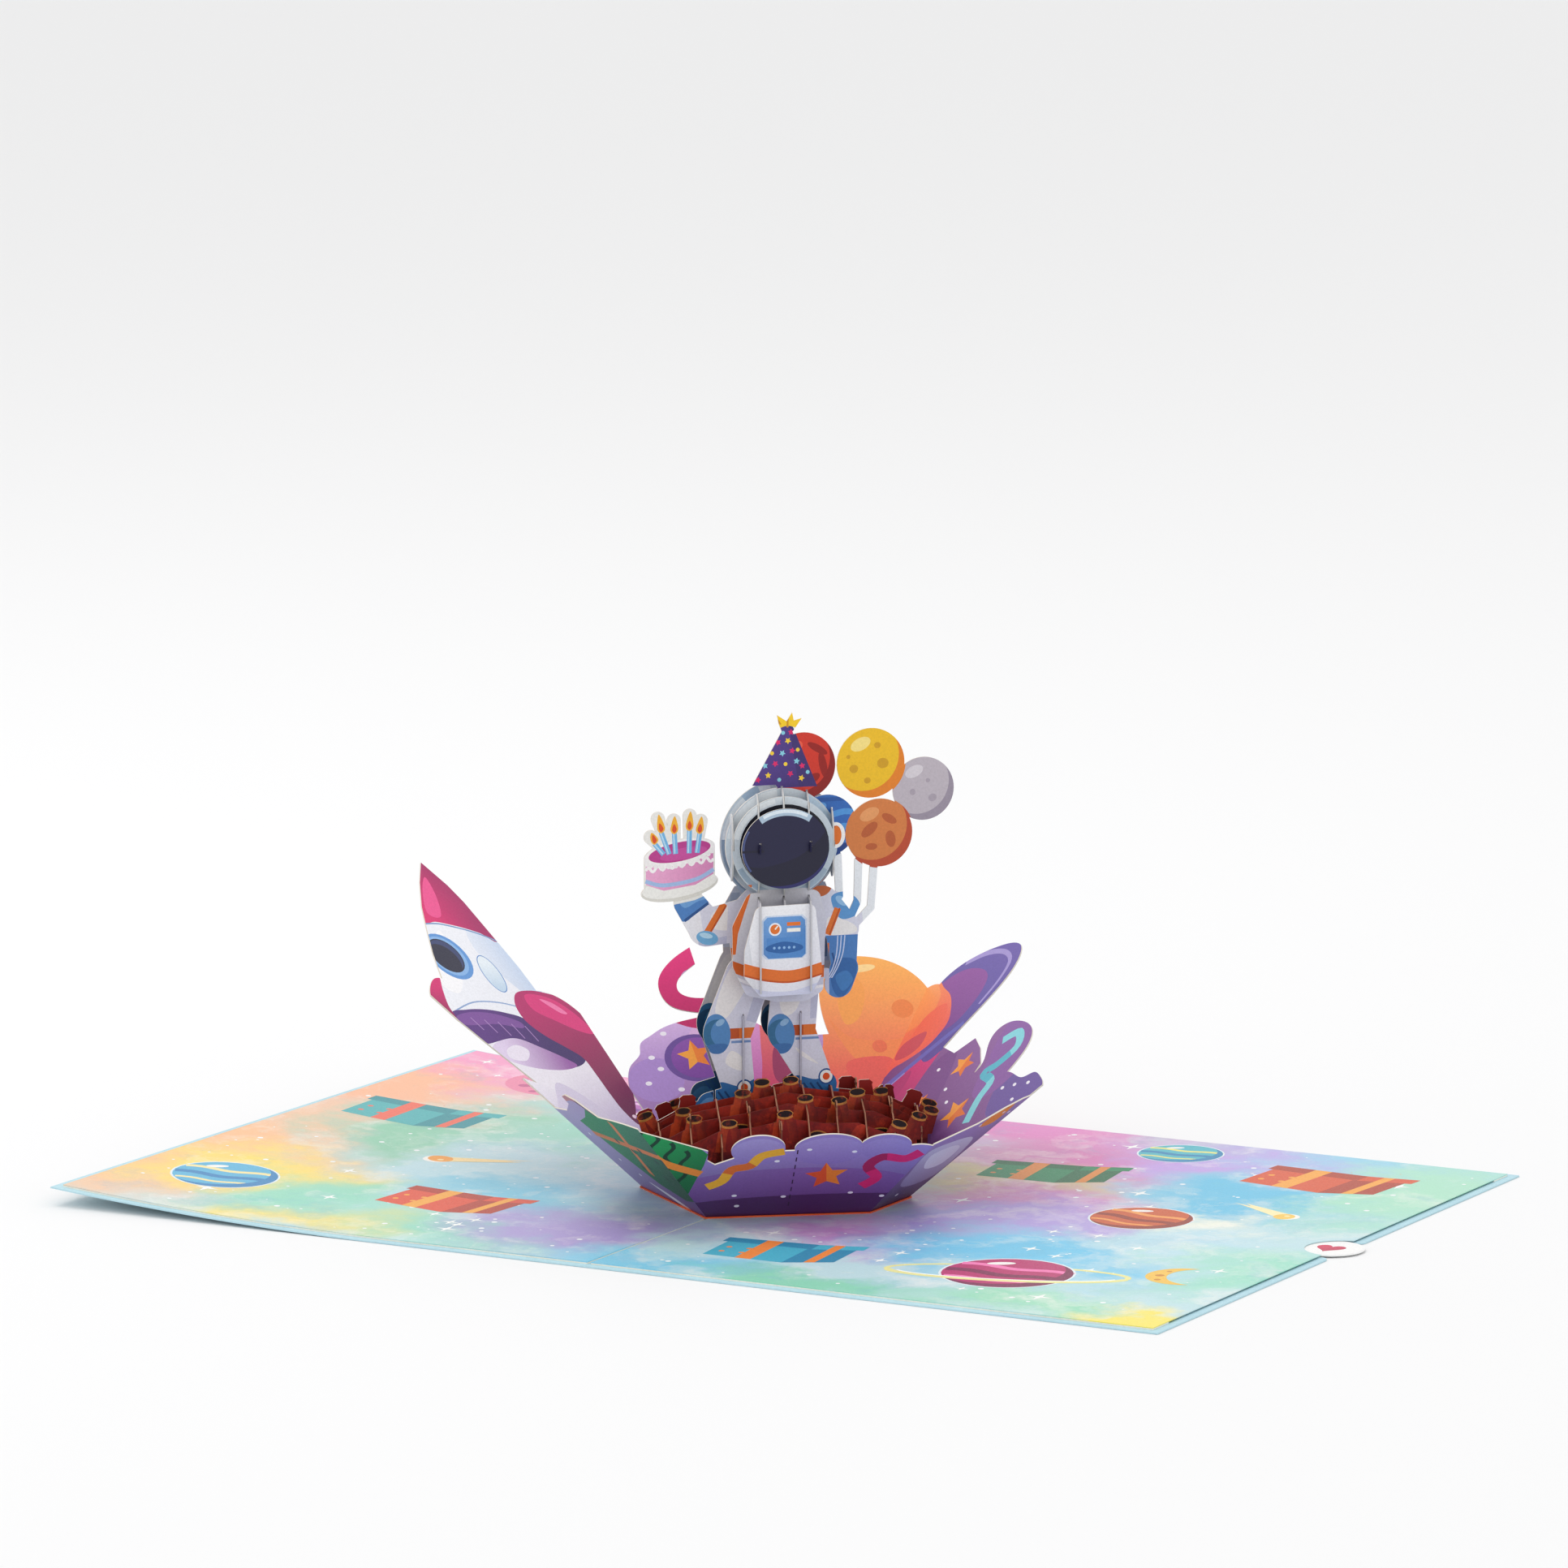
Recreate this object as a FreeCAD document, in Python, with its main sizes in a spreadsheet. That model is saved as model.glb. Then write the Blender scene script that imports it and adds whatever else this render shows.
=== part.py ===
import FreeCAD, Part
import math
import os

# A pop up greeting card lying open. Two glued leaves carry a folded paper bowl, and in the bowl stands
# a figure on a mound, both built from flat slices that slot into each other like an egg crate.
#
# Frame, in millimetres: X runs across the open card, Y from the viewer's edge to the far edge, Z up.
# The origin is the middle of the fold, on the underside of the cover.
#
# Every slice is drawn flat: x runs along the slice, y is its height above the table.

V = FreeCAD.Vector
UP = V(0, 0, 1)

doc = FreeCAD.newDocument("PopUpCard")

# Driving sizes, in millimetres and degrees
SIZES = [
    ("leaf_width", 150, "one leaf, from the fold to its outer edge"),
    ("leaf_height", 200, "a leaf along the fold"),
    ("cover_board", 0.35, "thickness of the cover"),
    ("liner_paper", 0.2, "thickness of the printed liners"),
    ("tape_thickness", 0.35, "double-sided tape between cover and liners"),
    ("slice_board", 0.35, "card that the slices and the bowl are cut from"),
    ("liner_border", 2.2, "cover showing round a liner"),
    ("gutter_gap", 1, "cover showing between the liners, at the fold"),
    ("score_width", 0.8, "crease pressed into the cover"),
    ("score_depth", 0.12, "depth of that crease"),
    ("flat_length", 55, "left leaf that lies flat before it curls up"),
    ("curl_lift", 4.2, "height of the left leaf's outer edge"),
    ("tape_width", 8, "width of a run of tape"),
    ("notch_radius", 9.1, "thumb notch in the right leaf"),
    ("notch_depth", 10, "depth of the notch from the cover's edge"),
    ("notch_lip", 2, "radius of the notch's eased lips"),
    ("note_length", 105, "message slip, along X without its tab"),
    ("note_height", 90, "message slip along Y"),
    ("note_paper", 0.25, "thickness of the slip"),
    ("note_corner", 4, "corner radius of the slip"),
    ("tab_radius", 8.5, "round pull tab of the slip"),
    ("tab_overhang", 4.1, "tab standing out past the cover"),
    ("bowl_offset", -7.3, "middle of the bowl along Y"),
    ("floor_length", 67.8, "bowl floor along the fold"),
    ("floor_width", 62.4, "bowl floor across the fold"),
    ("floor_side", 20.2, "the floor's two edges beside the fold"),
    ("floor_margin", 0.9, "floor sheet standing out round the walls"),
    ("wall_rise", 0.83, "rise of the fold creases for one unit outwards"),
    ("side_splay", 0.35, "splay of the side creases along Y"),
    ("facing", 45, "angle of the long slices to X"),
    ("skew", 12, "angle that the cross slices lean from square"),
    ("layer_pitch", 6.4, "spacing of the long slices"),
    ("rib_pitch", 6.35, "spacing of the cross ribs in the figure"),
    ("rock_pitch", 7.3, "spacing of the cross slices in the mound"),
    ("slot_clearance", 0.1, "play of a slice in its slot"),
    ("wall_clearance", 0.7, "room between the slices and the bowl's walls"),
    ("figure_shift", -1.7, "middle of the figure along the long slices"),
    ("helmet_level", 85.6, "height of the helmet's middle"),
    ("helmet_width", 28.6, "helmet of the full-figure slice"),
    ("helmet_tall", 27.8, "height of that helmet"),
    ("shell_radius", 15.2, "round back shell of the helmet"),
    ("ring_width", 26, "helmet ring behind the visor"),
    ("ring_tall", 24.8, "height of the helmet ring"),
    ("visor_width", 22, "visor"),
    ("visor_tall", 19.6, "height of the visor"),
    ("hat_width", 14.8, "party hat at its base"),
    ("hat_base", 100.2, "height of the hat's base"),
    ("hat_top", 114.2, "height of the hat's point"),
    ("balloon_radius", 8.4, "balloons"),
    ("hip_level", 50, "lower edge of the body"),
    ("knee_level", 39.6, "height of the knees"),
    ("ankle_level", 27, "height of the ankles"),
    ("sole_level", 22.2, "height of the shoes' middle"),
    ("mound_length", 74, "mound along the long slices"),
    ("mound_depth", 54, "mound across the long slices"),
    ("mound_middle", 3.2, "middle of the mound across the long slices"),
    ("mound_peak", 26.3, "top of the mound"),
    ("mound_drop", 10.5, "fall of the mound to its rim"),
]

sheet = doc.addObject("Spreadsheet::Sheet", "Sizes")
for row, (alias, value, meaning) in enumerate(SIZES, start=1):
    sheet.set(f"A{row}", meaning)
    sheet.set(f"B{row}", str(value))
    sheet.setAlias(f"B{row}", alias)
doc.recompute()


def size(alias):
    return float(sheet.get(alias))


def turned(x, y, angle):
    a = math.radians(angle)
    return V(x * math.cos(a) - y * math.sin(a), x * math.sin(a) + y * math.cos(a), 0)


# Flat outlines

def facing_up(face):
    return face if face.normalAt(0, 0).z > 0 else face.reversed()


def disc(x, y, radius):
    return Part.Face(Part.Wire([Part.Circle(V(x, y, 0), UP, radius).toShape()]))


def oval(x, y, wide, tall, tilt=0):
    """An ellipse of the given overall width and height."""
    major, minor, turn = (wide, tall, tilt) if wide >= tall else (tall, wide, tilt + 90)
    edge = Part.Ellipse(V(0, 0, 0), major / 2, minor / 2).toShape()
    edge.rotate(V(0, 0, 0), UP, turn)
    edge.translate(V(x, y, 0))
    return facing_up(Part.Face(Part.Wire([edge])))


def poly(*points):
    corners = [V(x, y, 0) for x, y in points]
    return facing_up(Part.Face(Part.makePolygon(corners + corners[:1])))


def box(x0, y0, x1, y1):
    return poly((x0, y0), (x1, y0), (x1, y1), (x0, y1))


def soft(*points):
    """A closed smooth curve through the points."""
    curve = Part.BSplineCurve()
    curve.interpolate([V(x, y, 0) for x, y in points], PeriodicFlag=True)
    return facing_up(Part.Face(Part.Wire([curve.toShape()])))


def limb(x0, y0, r0, x1, y1, r1):
    """Two discs and the strip between the straight lines that touch both."""
    along = math.atan2(y1 - y0, x1 - x0)
    reach = math.hypot(x1 - x0, y1 - y0)
    open_angle = math.acos((r0 - r1) / reach)
    corners = []
    for cx, cy, r, side in ((x0, y0, r0, 1), (x1, y1, r1, 1), (x1, y1, r1, -1), (x0, y0, r0, -1)):
        a = along + side * open_angle
        corners.append((cx + r * math.cos(a), cy + r * math.sin(a)))
    return [disc(x0, y0, r0), disc(x1, y1, r1), poly(*corners)]


def joined(*shapes):
    """One face from outlines that overlap."""
    faces = []
    for shape in shapes:
        faces.extend(shape if isinstance(shape, list) else [shape])
    if len(faces) == 1:
        return faces[0]
    return facing_up(faces[0].fuse(faces[1:]).removeSplitter().Faces[0])


def rounded(face, radius):
    """The outline with every corner rounded, inside and outside corners alike."""
    inner = face.makeOffset2D(-radius, join=2)
    outer = inner.makeOffset2D(2 * radius, join=0)
    return facing_up(outer.makeOffset2D(-radius, join=0).Faces[0])


# Plates: an outline sketched on a plane of its own body and padded to the card's thickness

def sketch_curve(edge):
    first, last = edge.ParameterRange
    curve = edge.Curve
    kind = type(curve).__name__
    whole = last - first > 2 * math.pi - 1e-6
    if kind in ("Line", "LineSegment"):
        return Part.LineSegment(edge.valueAt(first), edge.valueAt(last))
    if kind == "Circle":
        return curve if whole else Part.ArcOfCircle(curve, first, last)
    if kind == "Ellipse":
        return curve if whole else Part.ArcOfEllipse(curve, first, last)
    return curve.toBSpline(first, last)


def new_sketch(body, name, plane):
    sketch = body.newObject("Sketcher::SketchObject", name)
    origin_plane = next(f for f in body.Origin.OriginFeatures if f.Role == plane)
    sketch.AttachmentSupport = [(origin_plane, "")]
    sketch.MapMode = "FlatFace"
    return sketch


def draw(sketch, face):
    for wire in face.Wires:
        for edge in wire.OrderedEdges:
            sketch.addGeometry(sketch_curve(edge), False)


def clear_crumbs(face, cuts):
    """The cuts, and further ones that take away the specks left between a slot and the outline."""
    cuts = list(cuts)
    for attempt in range(3):
        pieces = sorted(face.cut(cuts).Faces, key=lambda f: f.Area) if cuts else []
        for piece in pieces[:-1]:
            b = piece.BoundBox
            cuts.append(box(b.XMin - 0.08, b.YMin - 0.08, b.XMax + 0.08, b.YMax + 0.08))
        if len(pieces) < 2:
            break
    return cuts


def plate(name, face, thickness, plane="XZ_Plane", both_sides=True, cuts=()):
    """A body padded from the outline, with the cuts taken right through."""
    cuts = clear_crumbs(face, cuts)
    body = doc.addObject("PartDesign::Body", name)
    body.Label = name
    outline = new_sketch(body, name + "_outline", plane)
    draw(outline, face)
    pad = body.newObject("PartDesign::Pad", name + "_pad")
    pad.Profile = outline
    pad.Midplane = both_sides
    pad.setExpression("Length", thickness)
    if cuts:
        slots = new_sketch(body, name + "_slots", plane)
        for cut in cuts:
            draw(slots, cut)
        pocket = body.newObject("PartDesign::Pocket", name + "_pocket")
        pocket.Profile = slots
        pocket.Type = "ThroughAll"
        pocket.Midplane = True
    return body


nodes = []


def keep(obj, label):
    obj.Label = label
    nodes.append(obj)
    return obj


# Card stack, from the table up
leaf_width = size("leaf_width")
leaf_height = size("leaf_height")
cover_top = size("cover_board")
liner_bottom = cover_top + size("tape_thickness")
card_top = liner_bottom + size("liner_paper")
floor_top = card_top + size("slice_board")
liner_edge = leaf_width - size("liner_border")
liner_side = leaf_height / 2 - size("liner_border")
liner_start = size("gutter_gap") / 2

# The left leaf's outer part curls up on a long arc
curl_run = leaf_width - size("flat_length")
curl_radius = (curl_run ** 2 + size("curl_lift") ** 2) / (2 * size("curl_lift"))


CURL_STEPS = 12


def curled(run, height):
    """A point of the left leaf: run is its distance from the fold, measured along the paper."""
    bend = (run - size("flat_length")) / curl_radius
    radius = curl_radius - height
    return (-size("flat_length") - radius * math.sin(bend), curl_radius - radius * math.cos(bend))


def curl_runs(end):
    """Small straight steps of the curl; all the sheets share them, so that they lie face to face."""
    step = (liner_edge - size("flat_length")) / CURL_STEPS
    shared = [size("flat_length") + i * step for i in range(CURL_STEPS + 1)]
    return shared + [end] if end > liner_edge else shared


def left_section(end, low, thick, first_points):
    """Section of a sheet of the left leaf, from the fold side to its outer end."""
    high = low + thick
    runs = curl_runs(end)
    return poly(*(first_points + [curled(run, high) for run in runs]
                  + [curled(run, low) for run in reversed(runs)]))


def notch_face():
    """Thumb notch: a round bite with its lips eased."""
    radius = size("notch_radius")
    lip = size("notch_lip")
    middle = leaf_width - size("notch_depth") + radius
    flare = box(leaf_width - lip, -radius - lip, leaf_width + radius, radius + lip)
    for side in (-1, 1):
        flare = flare.cut(disc(leaf_width - lip, side * (radius + lip), lip)).Faces[0]
    return joined(disc(middle, 0, radius), box(middle, -radius, leaf_width + radius, radius), flare)


def through_card(body, name, face):
    """Take an outline, drawn as seen from above, through the sheet."""
    cut = new_sketch(body, name + "_notch", "XY_Plane")
    draw(cut, face)
    pocket = body.newObject("PartDesign::Pocket", name + "_notch_cut")
    pocket.Profile = cut
    pocket.Type = "ThroughAll"
    pocket.Midplane = True
    return body


# Cover: one board with a pressed crease at the fold
half_score = size("score_width") / 2
cover_section = left_section(
    leaf_width, 0, cover_top,
    [(leaf_width, 0), (leaf_width, cover_top), (half_score, cover_top),
     (0, cover_top - size("score_depth")), (-half_score, cover_top)])
cover = plate("cover", cover_section, "Sizes.leaf_height")
keep(through_card(cover, "cover", notch_face()), "cover")

# Printed liners, held off the cover by runs of double-sided tape
liner_length = "Sizes.leaf_height - 2 * Sizes.liner_border"
liner_left = plate("liner_left", left_section(
    liner_edge, liner_bottom, size("liner_paper"),
    [(-liner_start, liner_bottom), (-liner_start, card_top)]), liner_length)
keep(liner_left, "liner_left")
liner_right = plate("liner_right", box(liner_start, liner_bottom, liner_edge, card_top), liner_length)
keep(through_card(liner_right, "liner_right", notch_face()), "liner_right")

tape_left = plate("tape_left", left_section(
    liner_edge, cover_top, size("tape_thickness"),
    [(-liner_start, cover_top), (-liner_start, liner_bottom)]), liner_length)
tape_window = box(-liner_edge + size("tape_width"), -liner_side + size("tape_width"),
                  -liner_start - size("tape_width"), liner_side - size("tape_width"))
keep(through_card(tape_left, "tape_left", tape_window), "tape_left")
tape_right = plate("tape_right", box(liner_start, cover_top, liner_edge, liner_bottom), liner_length)
pocket_space = box(liner_start + size("tape_width"), -liner_side + size("tape_width"),
                   leaf_width, liner_side - size("tape_width"))
keep(through_card(tape_right, "tape_right", pocket_space), "tape_right")

# Message slip with a round tab, loose in the pocket under the right liner
tab_middle = leaf_width + size("tab_overhang") - size("tab_radius")
note_end = leaf_width - size("notch_depth") - 1
note_start = note_end - size("note_length")
note_half = size("note_height") / 2
corner = size("note_corner")
note_sheet = joined(
    box(note_start + corner, -note_half, note_end - corner, note_half),
    box(note_start, -note_half + corner, note_end, note_half - corner),
    *[disc(x, y, corner) for x in (note_start + corner, note_end - corner)
      for y in (-note_half + corner, note_half - corner)])
note_outline = joined(note_sheet, disc(tab_middle, 0, size("tab_radius")))
message_slip = plate("message_slip", note_outline, "Sizes.note_paper", "XY_Plane", False)
message_slip.setExpression("Placement.Base.z", "Sizes.cover_board")
keep(message_slip, "message_slip")

# Bowl: a six-sided floor and six walls that lean out from its edges
half_length = size("floor_length") / 2
half_width = size("floor_width") / 2
half_side = size("floor_side") / 2
bowl_y = size("bowl_offset")
wall_rise = size("wall_rise")
side_splay = size("side_splay")
side_rise = wall_rise * (half_length - half_side + half_width * side_splay) / half_width

# Corners anticlockwise from the viewer's end of the fold, each with the crease that climbs from it
BOWL_CORNERS = [
    (V(0, bowl_y - half_length, floor_top), V(0, -1, wall_rise)),
    (V(half_width, bowl_y - half_side, floor_top), V(1, -side_splay, side_rise)),
    (V(half_width, bowl_y + half_side, floor_top), V(1, side_splay, side_rise)),
    (V(0, bowl_y + half_length, floor_top), V(0, 1, wall_rise)),
    (V(-half_width, bowl_y + half_side, floor_top), V(-1, side_splay, side_rise)),
    (V(-half_width, bowl_y - half_side, floor_top), V(-1, -side_splay, side_rise)),
]
FRONT_RIGHT, RIGHT, BACK_RIGHT, BACK_LEFT, LEFT, FRONT_LEFT = range(6)


def wall_frame(index):
    """Middle of a wall's foot, and its directions along, up and outwards."""
    start, crease = BOWL_CORNERS[index]
    end = BOWL_CORNERS[(index + 1) % 6][0]
    along = (end - start).normalize()
    outward = along.cross(crease).normalize()
    if outward.z > 0:
        outward = outward * -1
    rise = outward.cross(along)
    return (start + end) * 0.5, along, rise, outward


def wall_width(index):
    return (BOWL_CORNERS[(index + 1) % 6][0] - BOWL_CORNERS[index][0]).Length


def crease_slope(index, corner_index):
    """How far the crease moves along the wall for each unit up it."""
    middle, along, rise, outward = wall_frame(index)
    crease = BOWL_CORNERS[corner_index % 6][1]
    return crease.dot(along) / crease.dot(rise)


def crease_point(index, corner_index, height, beyond=0.0):
    half = wall_width(index) / 2
    side = -1 if corner_index == index else 1
    return (side * (half + beyond) + crease_slope(index, corner_index) * height, height)


SPARE = 2.0


def wall_outline(index, start_height, end_height, rim):
    """A wall between its two creases; rim runs from the end crease back to the start crease."""
    points = [crease_point(index, index, -SPARE, SPARE), crease_point(index, index + 1, -SPARE, SPARE),
              crease_point(index, index + 1, end_height, SPARE)]
    points += rim
    points.append(crease_point(index, index, start_height, SPARE))
    return poly(*points)


def big_box(name, corner_point, inward_axis, up_axis):
    """A block whose face lies at corner_point, used to trim along a plane."""
    block = doc.addObject("Part::Box", name)
    reach = 400
    block.Length = reach
    block.Width = reach
    block.Height = reach
    side = up_axis.cross(inward_axis).normalize()
    turn = FreeCAD.Rotation(inward_axis, side, up_axis, "XZY")
    block.Placement = FreeCAD.Placement(corner_point - side * (reach / 2) - up_axis * (reach / 2), turn)
    return block


def cut_from(name, base, tool):
    cut = doc.addObject("Part::Cut", name)
    cut.Base = base
    cut.Tool = tool
    return cut


def wall(name, index, face):
    """A wall of the bowl, mitred at both creases and flush with the floor."""
    middle, along, rise, outward = wall_frame(index)
    body = plate(name + "_sheet", face, "Sizes.slice_board", "XY_Plane", False)
    turn = FreeCAD.Rotation(along, rise, outward, "ZXY")
    body.Placement = FreeCAD.Placement(middle, turn)
    result = body
    for corner_index, direction in ((index, -1), (index + 1, 1)):
        foot, crease = BOWL_CORNERS[corner_index % 6]
        neighbour = wall_frame(index - 1 if direction < 0 else (index + 1) % 6)[3]
        crease = V(crease).normalize()
        mitre = (outward + neighbour).normalize()
        away = crease.cross(mitre).normalize()
        if away.dot(along) * direction < 0:
            away = away * -1
        block = big_box(f"{name}_mitre_{corner_index % 6}", foot, away, crease)
        result = cut_from(f"{name}_trim_{corner_index % 6}", result, block)
    under = big_box(name + "_under", V(0, 0, floor_top), V(0, 0, -1), V(0, 1, 0))
    return cut_from(name + "_wall", result, under)


def folded(name, *walls):
    sheet_object = doc.addObject("Part::MultiFuse", name)
    sheet_object.Shapes = list(walls)
    sheet_object.Refine = False
    return keep(sheet_object, name)


def bowl_ring(grow, level):
    """The floor's outline grown outwards, at a level."""
    points = []
    for index in range(6):
        before = wall_frame(index - 1)
        after = wall_frame(index)
        n0 = V(before[3].x, before[3].y, 0).normalize()
        n1 = V(after[3].x, after[3].y, 0).normalize()
        bisector = (n0 + n1).normalize()
        foot = BOWL_CORNERS[index][0]
        move = bisector * (grow / bisector.dot(n0))
        points.append(V(foot.x + move.x, foot.y + move.y, level))
    return points


floor_corners = [(p.x, p.y) for p in bowl_ring(size("floor_margin"), 0)]
bowl_floor = plate("bowl_floor", poly(*floor_corners), "Sizes.slice_board", "XY_Plane", False)
bowl_floor.setExpression("Placement.Base.z",
                         "Sizes.cover_board + Sizes.tape_thickness + Sizes.liner_paper")
keep(bowl_floor, "bowl_floor")


def strap(outer, inner):
    """A band between two smooth edges, cut straight at both ends."""
    sides = []
    for points in (outer, inner[::-1]):
        curve = Part.BSplineCurve()
        curve.interpolate([V(x, y, 0) for x, y in points])
        sides.append(curve)
    (a, b), (c, d) = [(curve.StartPoint, curve.EndPoint) for curve in sides]
    return facing_up(Part.Face(Part.Wire([sides[0].toShape(), Part.makeLine(b, c), sides[1].toShape(),
                                          Part.makeLine(d, a)])))


# Front sheet: scalloped clouds right of the fold, a gift with its bow standing up on the left
front_right = joined(
    wall_outline(FRONT_RIGHT, 38.2, 27, [(26, 27.3), (-14, 27), (-15.6, 24.6), (-19.9, 22.2), (-21.9, 24),
                                         (-22.1, 28)]),
    oval(-10, 28, 13, 11.6), oval(7, 28, 16.4, 11), oval(20.8, 28, 12.4, 9.4), oval(29, 25.4, 9, 5.4))
front_left = wall_outline(FRONT_LEFT, 26, 38.2, [(30, 37), (20, 35.6), (12, 34.2), (8, 33.6), (3.6, 36),
                                                 (0.5, 37.8), (-5, 38.4), (-9.4, 36.8), (-9.8, 34),
                                                 (-20, 28.6)])

# Left petal: a rocket leaning out between its two side boosters
left_petal = joined(
    wall_outline(LEFT, 14, 40, []),
    poly((-13.4, 58), (-14.8, 68), (-15.2, 78), (-15.6, 90), (-14.9, 96), (-12.4, 104.3), (-5.3, 98.9),
         (1.9, 92.3), (6.9, 86.4), (13.2, 78.6), (17.8, 71.4), (26, 61), (22, 50), (14, 30), (0, 20), (-8, 30)),
    soft((-12, 60.4), (-17.4, 58.6), (-21.2, 54.8), (-23.4, 49), (-24, 42.5), (-22.6, 35.4), (-19.7, 29.2),
         (-15.3, 23.4), (-10, 18.6), (-4, 16), (0, 24), (2, 40), (0, 54)),
    soft((17.6, 71), (20.6, 71.9), (24.5, 70.4), (28, 67.2), (29, 63.8), (27, 60), (20, 58), (15, 64)))

# Right petal: a plain low wall that climbs to the far side
right_petal = wall_outline(RIGHT, 29.4, 38.4, [(16.6, 38.2), (9.9, 36.4), (1, 32.4)])

# Back sheet: a ringed planet across the fold, clouds, and ribbons that curl above the rim
back_right = joined(
    wall_outline(BACK_RIGHT, 37.6, 40, [(20, 38), (-4, 36), (-17, 35)]),
    soft((47, 52), (44.3, 53.8), (40, 53.9), (35.5, 52.5), (32, 49.4), (30.4, 44), (31, 36), (36, 30),
         (48, 26), (53, 40)),
    soft((42.9, 52), (41.3, 59.3), (36.9, 64.6), (30.1, 69.4), (24.3, 71.7), (21.1, 71.6), (18, 69.1),
         (16.1, 64.5), (15.8, 58.4), (16.7, 51.1), (17.8, 43.7), (20, 34), (30, 30), (40, 40)),
    poly((19.2, 34), (19.2, 39), (11.2, 38.6), (7.3, 44.3), (1.7, 42.4), (-3.8, 38.8), (-5, 34)),
    soft((-4.4, 35), (-4, 40.2), (-0.3, 44.5), (0.7, 48.1), (-1, 50.9), (-5.9, 52.9), (-10.7, 53), (-15.2, 51.2),
         (-17.8, 47.4), (-18.4, 42), (-17.6, 36), (-11, 31)),
    soft((-16, 34), (-17.4, 39), (-21.8, 39.5), (-27.3, 39.8), (-29.8, 41.8), (-33.8, 41.5), (-37.4, 40),
         (-39.4, 36.6), (-36, 31), (-26, 28)))
back_left = joined(
    wall_outline(BACK_LEFT, 40, 22.3, [(24, 24), (4, 38)]),
    soft((-47, 52), (-42, 58), (-35.8, 61.2), (-31.6, 62), (-26.9, 62), (-23.8, 61), (-21.5, 58.5),
         (-20.2, 55.5), (-19.4, 51), (-20, 42), (-24, 32), (-48, 28), (-54, 40)),
    soft((30.4, 22.6), (31, 27.8), (29.9, 31.6), (27.4, 34.9), (27, 37.8), (24.7, 39.8), (22.1, 41.7),
         (17.7, 43.7), (12.5, 45), (5, 46), (-2, 43.4), (-8, 37), (-6, 28), (10, 20), (26, 18)),
    strap([(11.9, 66.2), (15.7, 63.5), (18.8, 60.3), (20.7, 56.6), (20.5, 52.4), (18.4, 48.9), (14.6, 47.2),
           (10.4, 46.4), (3.1, 42.9)],
          [(11, 61.2), (14.4, 58.3), (16.1, 55.6), (15.9, 53), (13.7, 51.4), (9.4, 50.9), (0.9, 46.4)]))


def half_of(index, face, at_start):
    """Trim a wall's outline to its own side of the fold crease."""
    corner_index = index if at_start else index + 1
    side = -1 if at_start else 1
    low = crease_point(index, corner_index, -10, SPARE)
    high = crease_point(index, corner_index, 120, SPARE)
    beyond = poly(low, high, (high[0] + side * 200, high[1]), (low[0] + side * 200, low[1]))
    return facing_up(face.cut(beyond).Faces[0])


def between_creases(index, face):
    return half_of(index, half_of(index, face, True), False)


folded("bowl_front", wall("front_right", FRONT_RIGHT, between_creases(FRONT_RIGHT, front_right)),
       wall("front_left", FRONT_LEFT, between_creases(FRONT_LEFT, front_left)))
folded("bowl_back", wall("back_right", BACK_RIGHT, half_of(BACK_RIGHT, back_right, False)),
       wall("back_left", BACK_LEFT, half_of(BACK_LEFT, back_left, True)))
keep(wall("petal_left", LEFT, left_petal), "petal_left")
keep(wall("petal_right", RIGHT, between_creases(RIGHT, right_petal)), "petal_right")

# Room inside the bowl that the slices may fill, carried far up past the rim
SPACE_TOP = 130
inner_low = bowl_ring(-size("wall_clearance"), floor_top)
inner_high = []
for (foot, crease), low in zip(BOWL_CORNERS, inner_low):
    climb = (SPACE_TOP - floor_top) / crease.z
    inner_high.append(low + crease * climb)
bowl_space = Part.makeLoft([Part.makePolygon(ring + ring[:1]) for ring in (inner_low, inner_high)],
                           True, True)

# Lattice: long slices face the viewer, cross slices run through them
facing = size("facing")
skew = size("skew")
layer_pitch = size("layer_pitch")
rib_pitch = size("rib_pitch")
rock_pitch = size("rock_pitch")
skew_slope = math.tan(math.radians(skew))
slice_board = size("slice_board")
slot_width = (slice_board / math.cos(math.radians(skew)) + slice_board * skew_slope
              + size("slot_clearance"))


def long_offset(step):
    """Distance of a long slice from the origin; steps are counted from the fold's middle."""
    return (step + 0.5) * layer_pitch


def long_shift(step):
    """Where the figure's middle falls on that slice."""
    return size("figure_shift") - skew_slope * long_offset(step)


def long_placement(step):
    return FreeCAD.Placement(turned(0, -long_offset(step), facing), FreeCAD.Rotation(UP, facing))


def cross_placement(across):
    base = turned(size("figure_shift") + across, 0, facing)
    return FreeCAD.Placement(base, FreeCAD.Rotation(UP, facing - 90 - skew))


def cross_reach(step):
    """Where a long slice crosses, along a cross slice."""
    return long_offset(step) / math.cos(math.radians(skew))


STAND = FreeCAD.Placement(V(0, 0, 0), FreeCAD.Rotation(V(1, 0, 0), 90))


def trimmed(face, placement):
    """The part of a slice's outline that lies inside the bowl."""
    standing = face.copy()
    standing.Placement = placement.multiply(STAND).multiply(face.Placement)
    kept = standing.common(bowl_space)
    kept.Placement = placement.multiply(STAND).inverse().multiply(kept.Placement)
    return facing_up(max(kept.Faces, key=lambda f: f.Area))


def spans(face, x, reach=0.3):
    """Heights that the outline covers near x, lowest first."""
    found = []
    for at in (x - reach, x, x + reach):
        line = Part.makeLine(V(at, -5, 0), V(at, 200, 0))
        for edge in face.common(line).Edges:
            found.append([edge.BoundBox.YMin, edge.BoundBox.YMax])
    found.sort()
    merged = []
    for low, high in found:
        if merged and low < merged[-1][1] + 0.5:
            merged[-1][1] = max(merged[-1][1], high)
        else:
            merged.append([low, high])
    return merged


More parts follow.
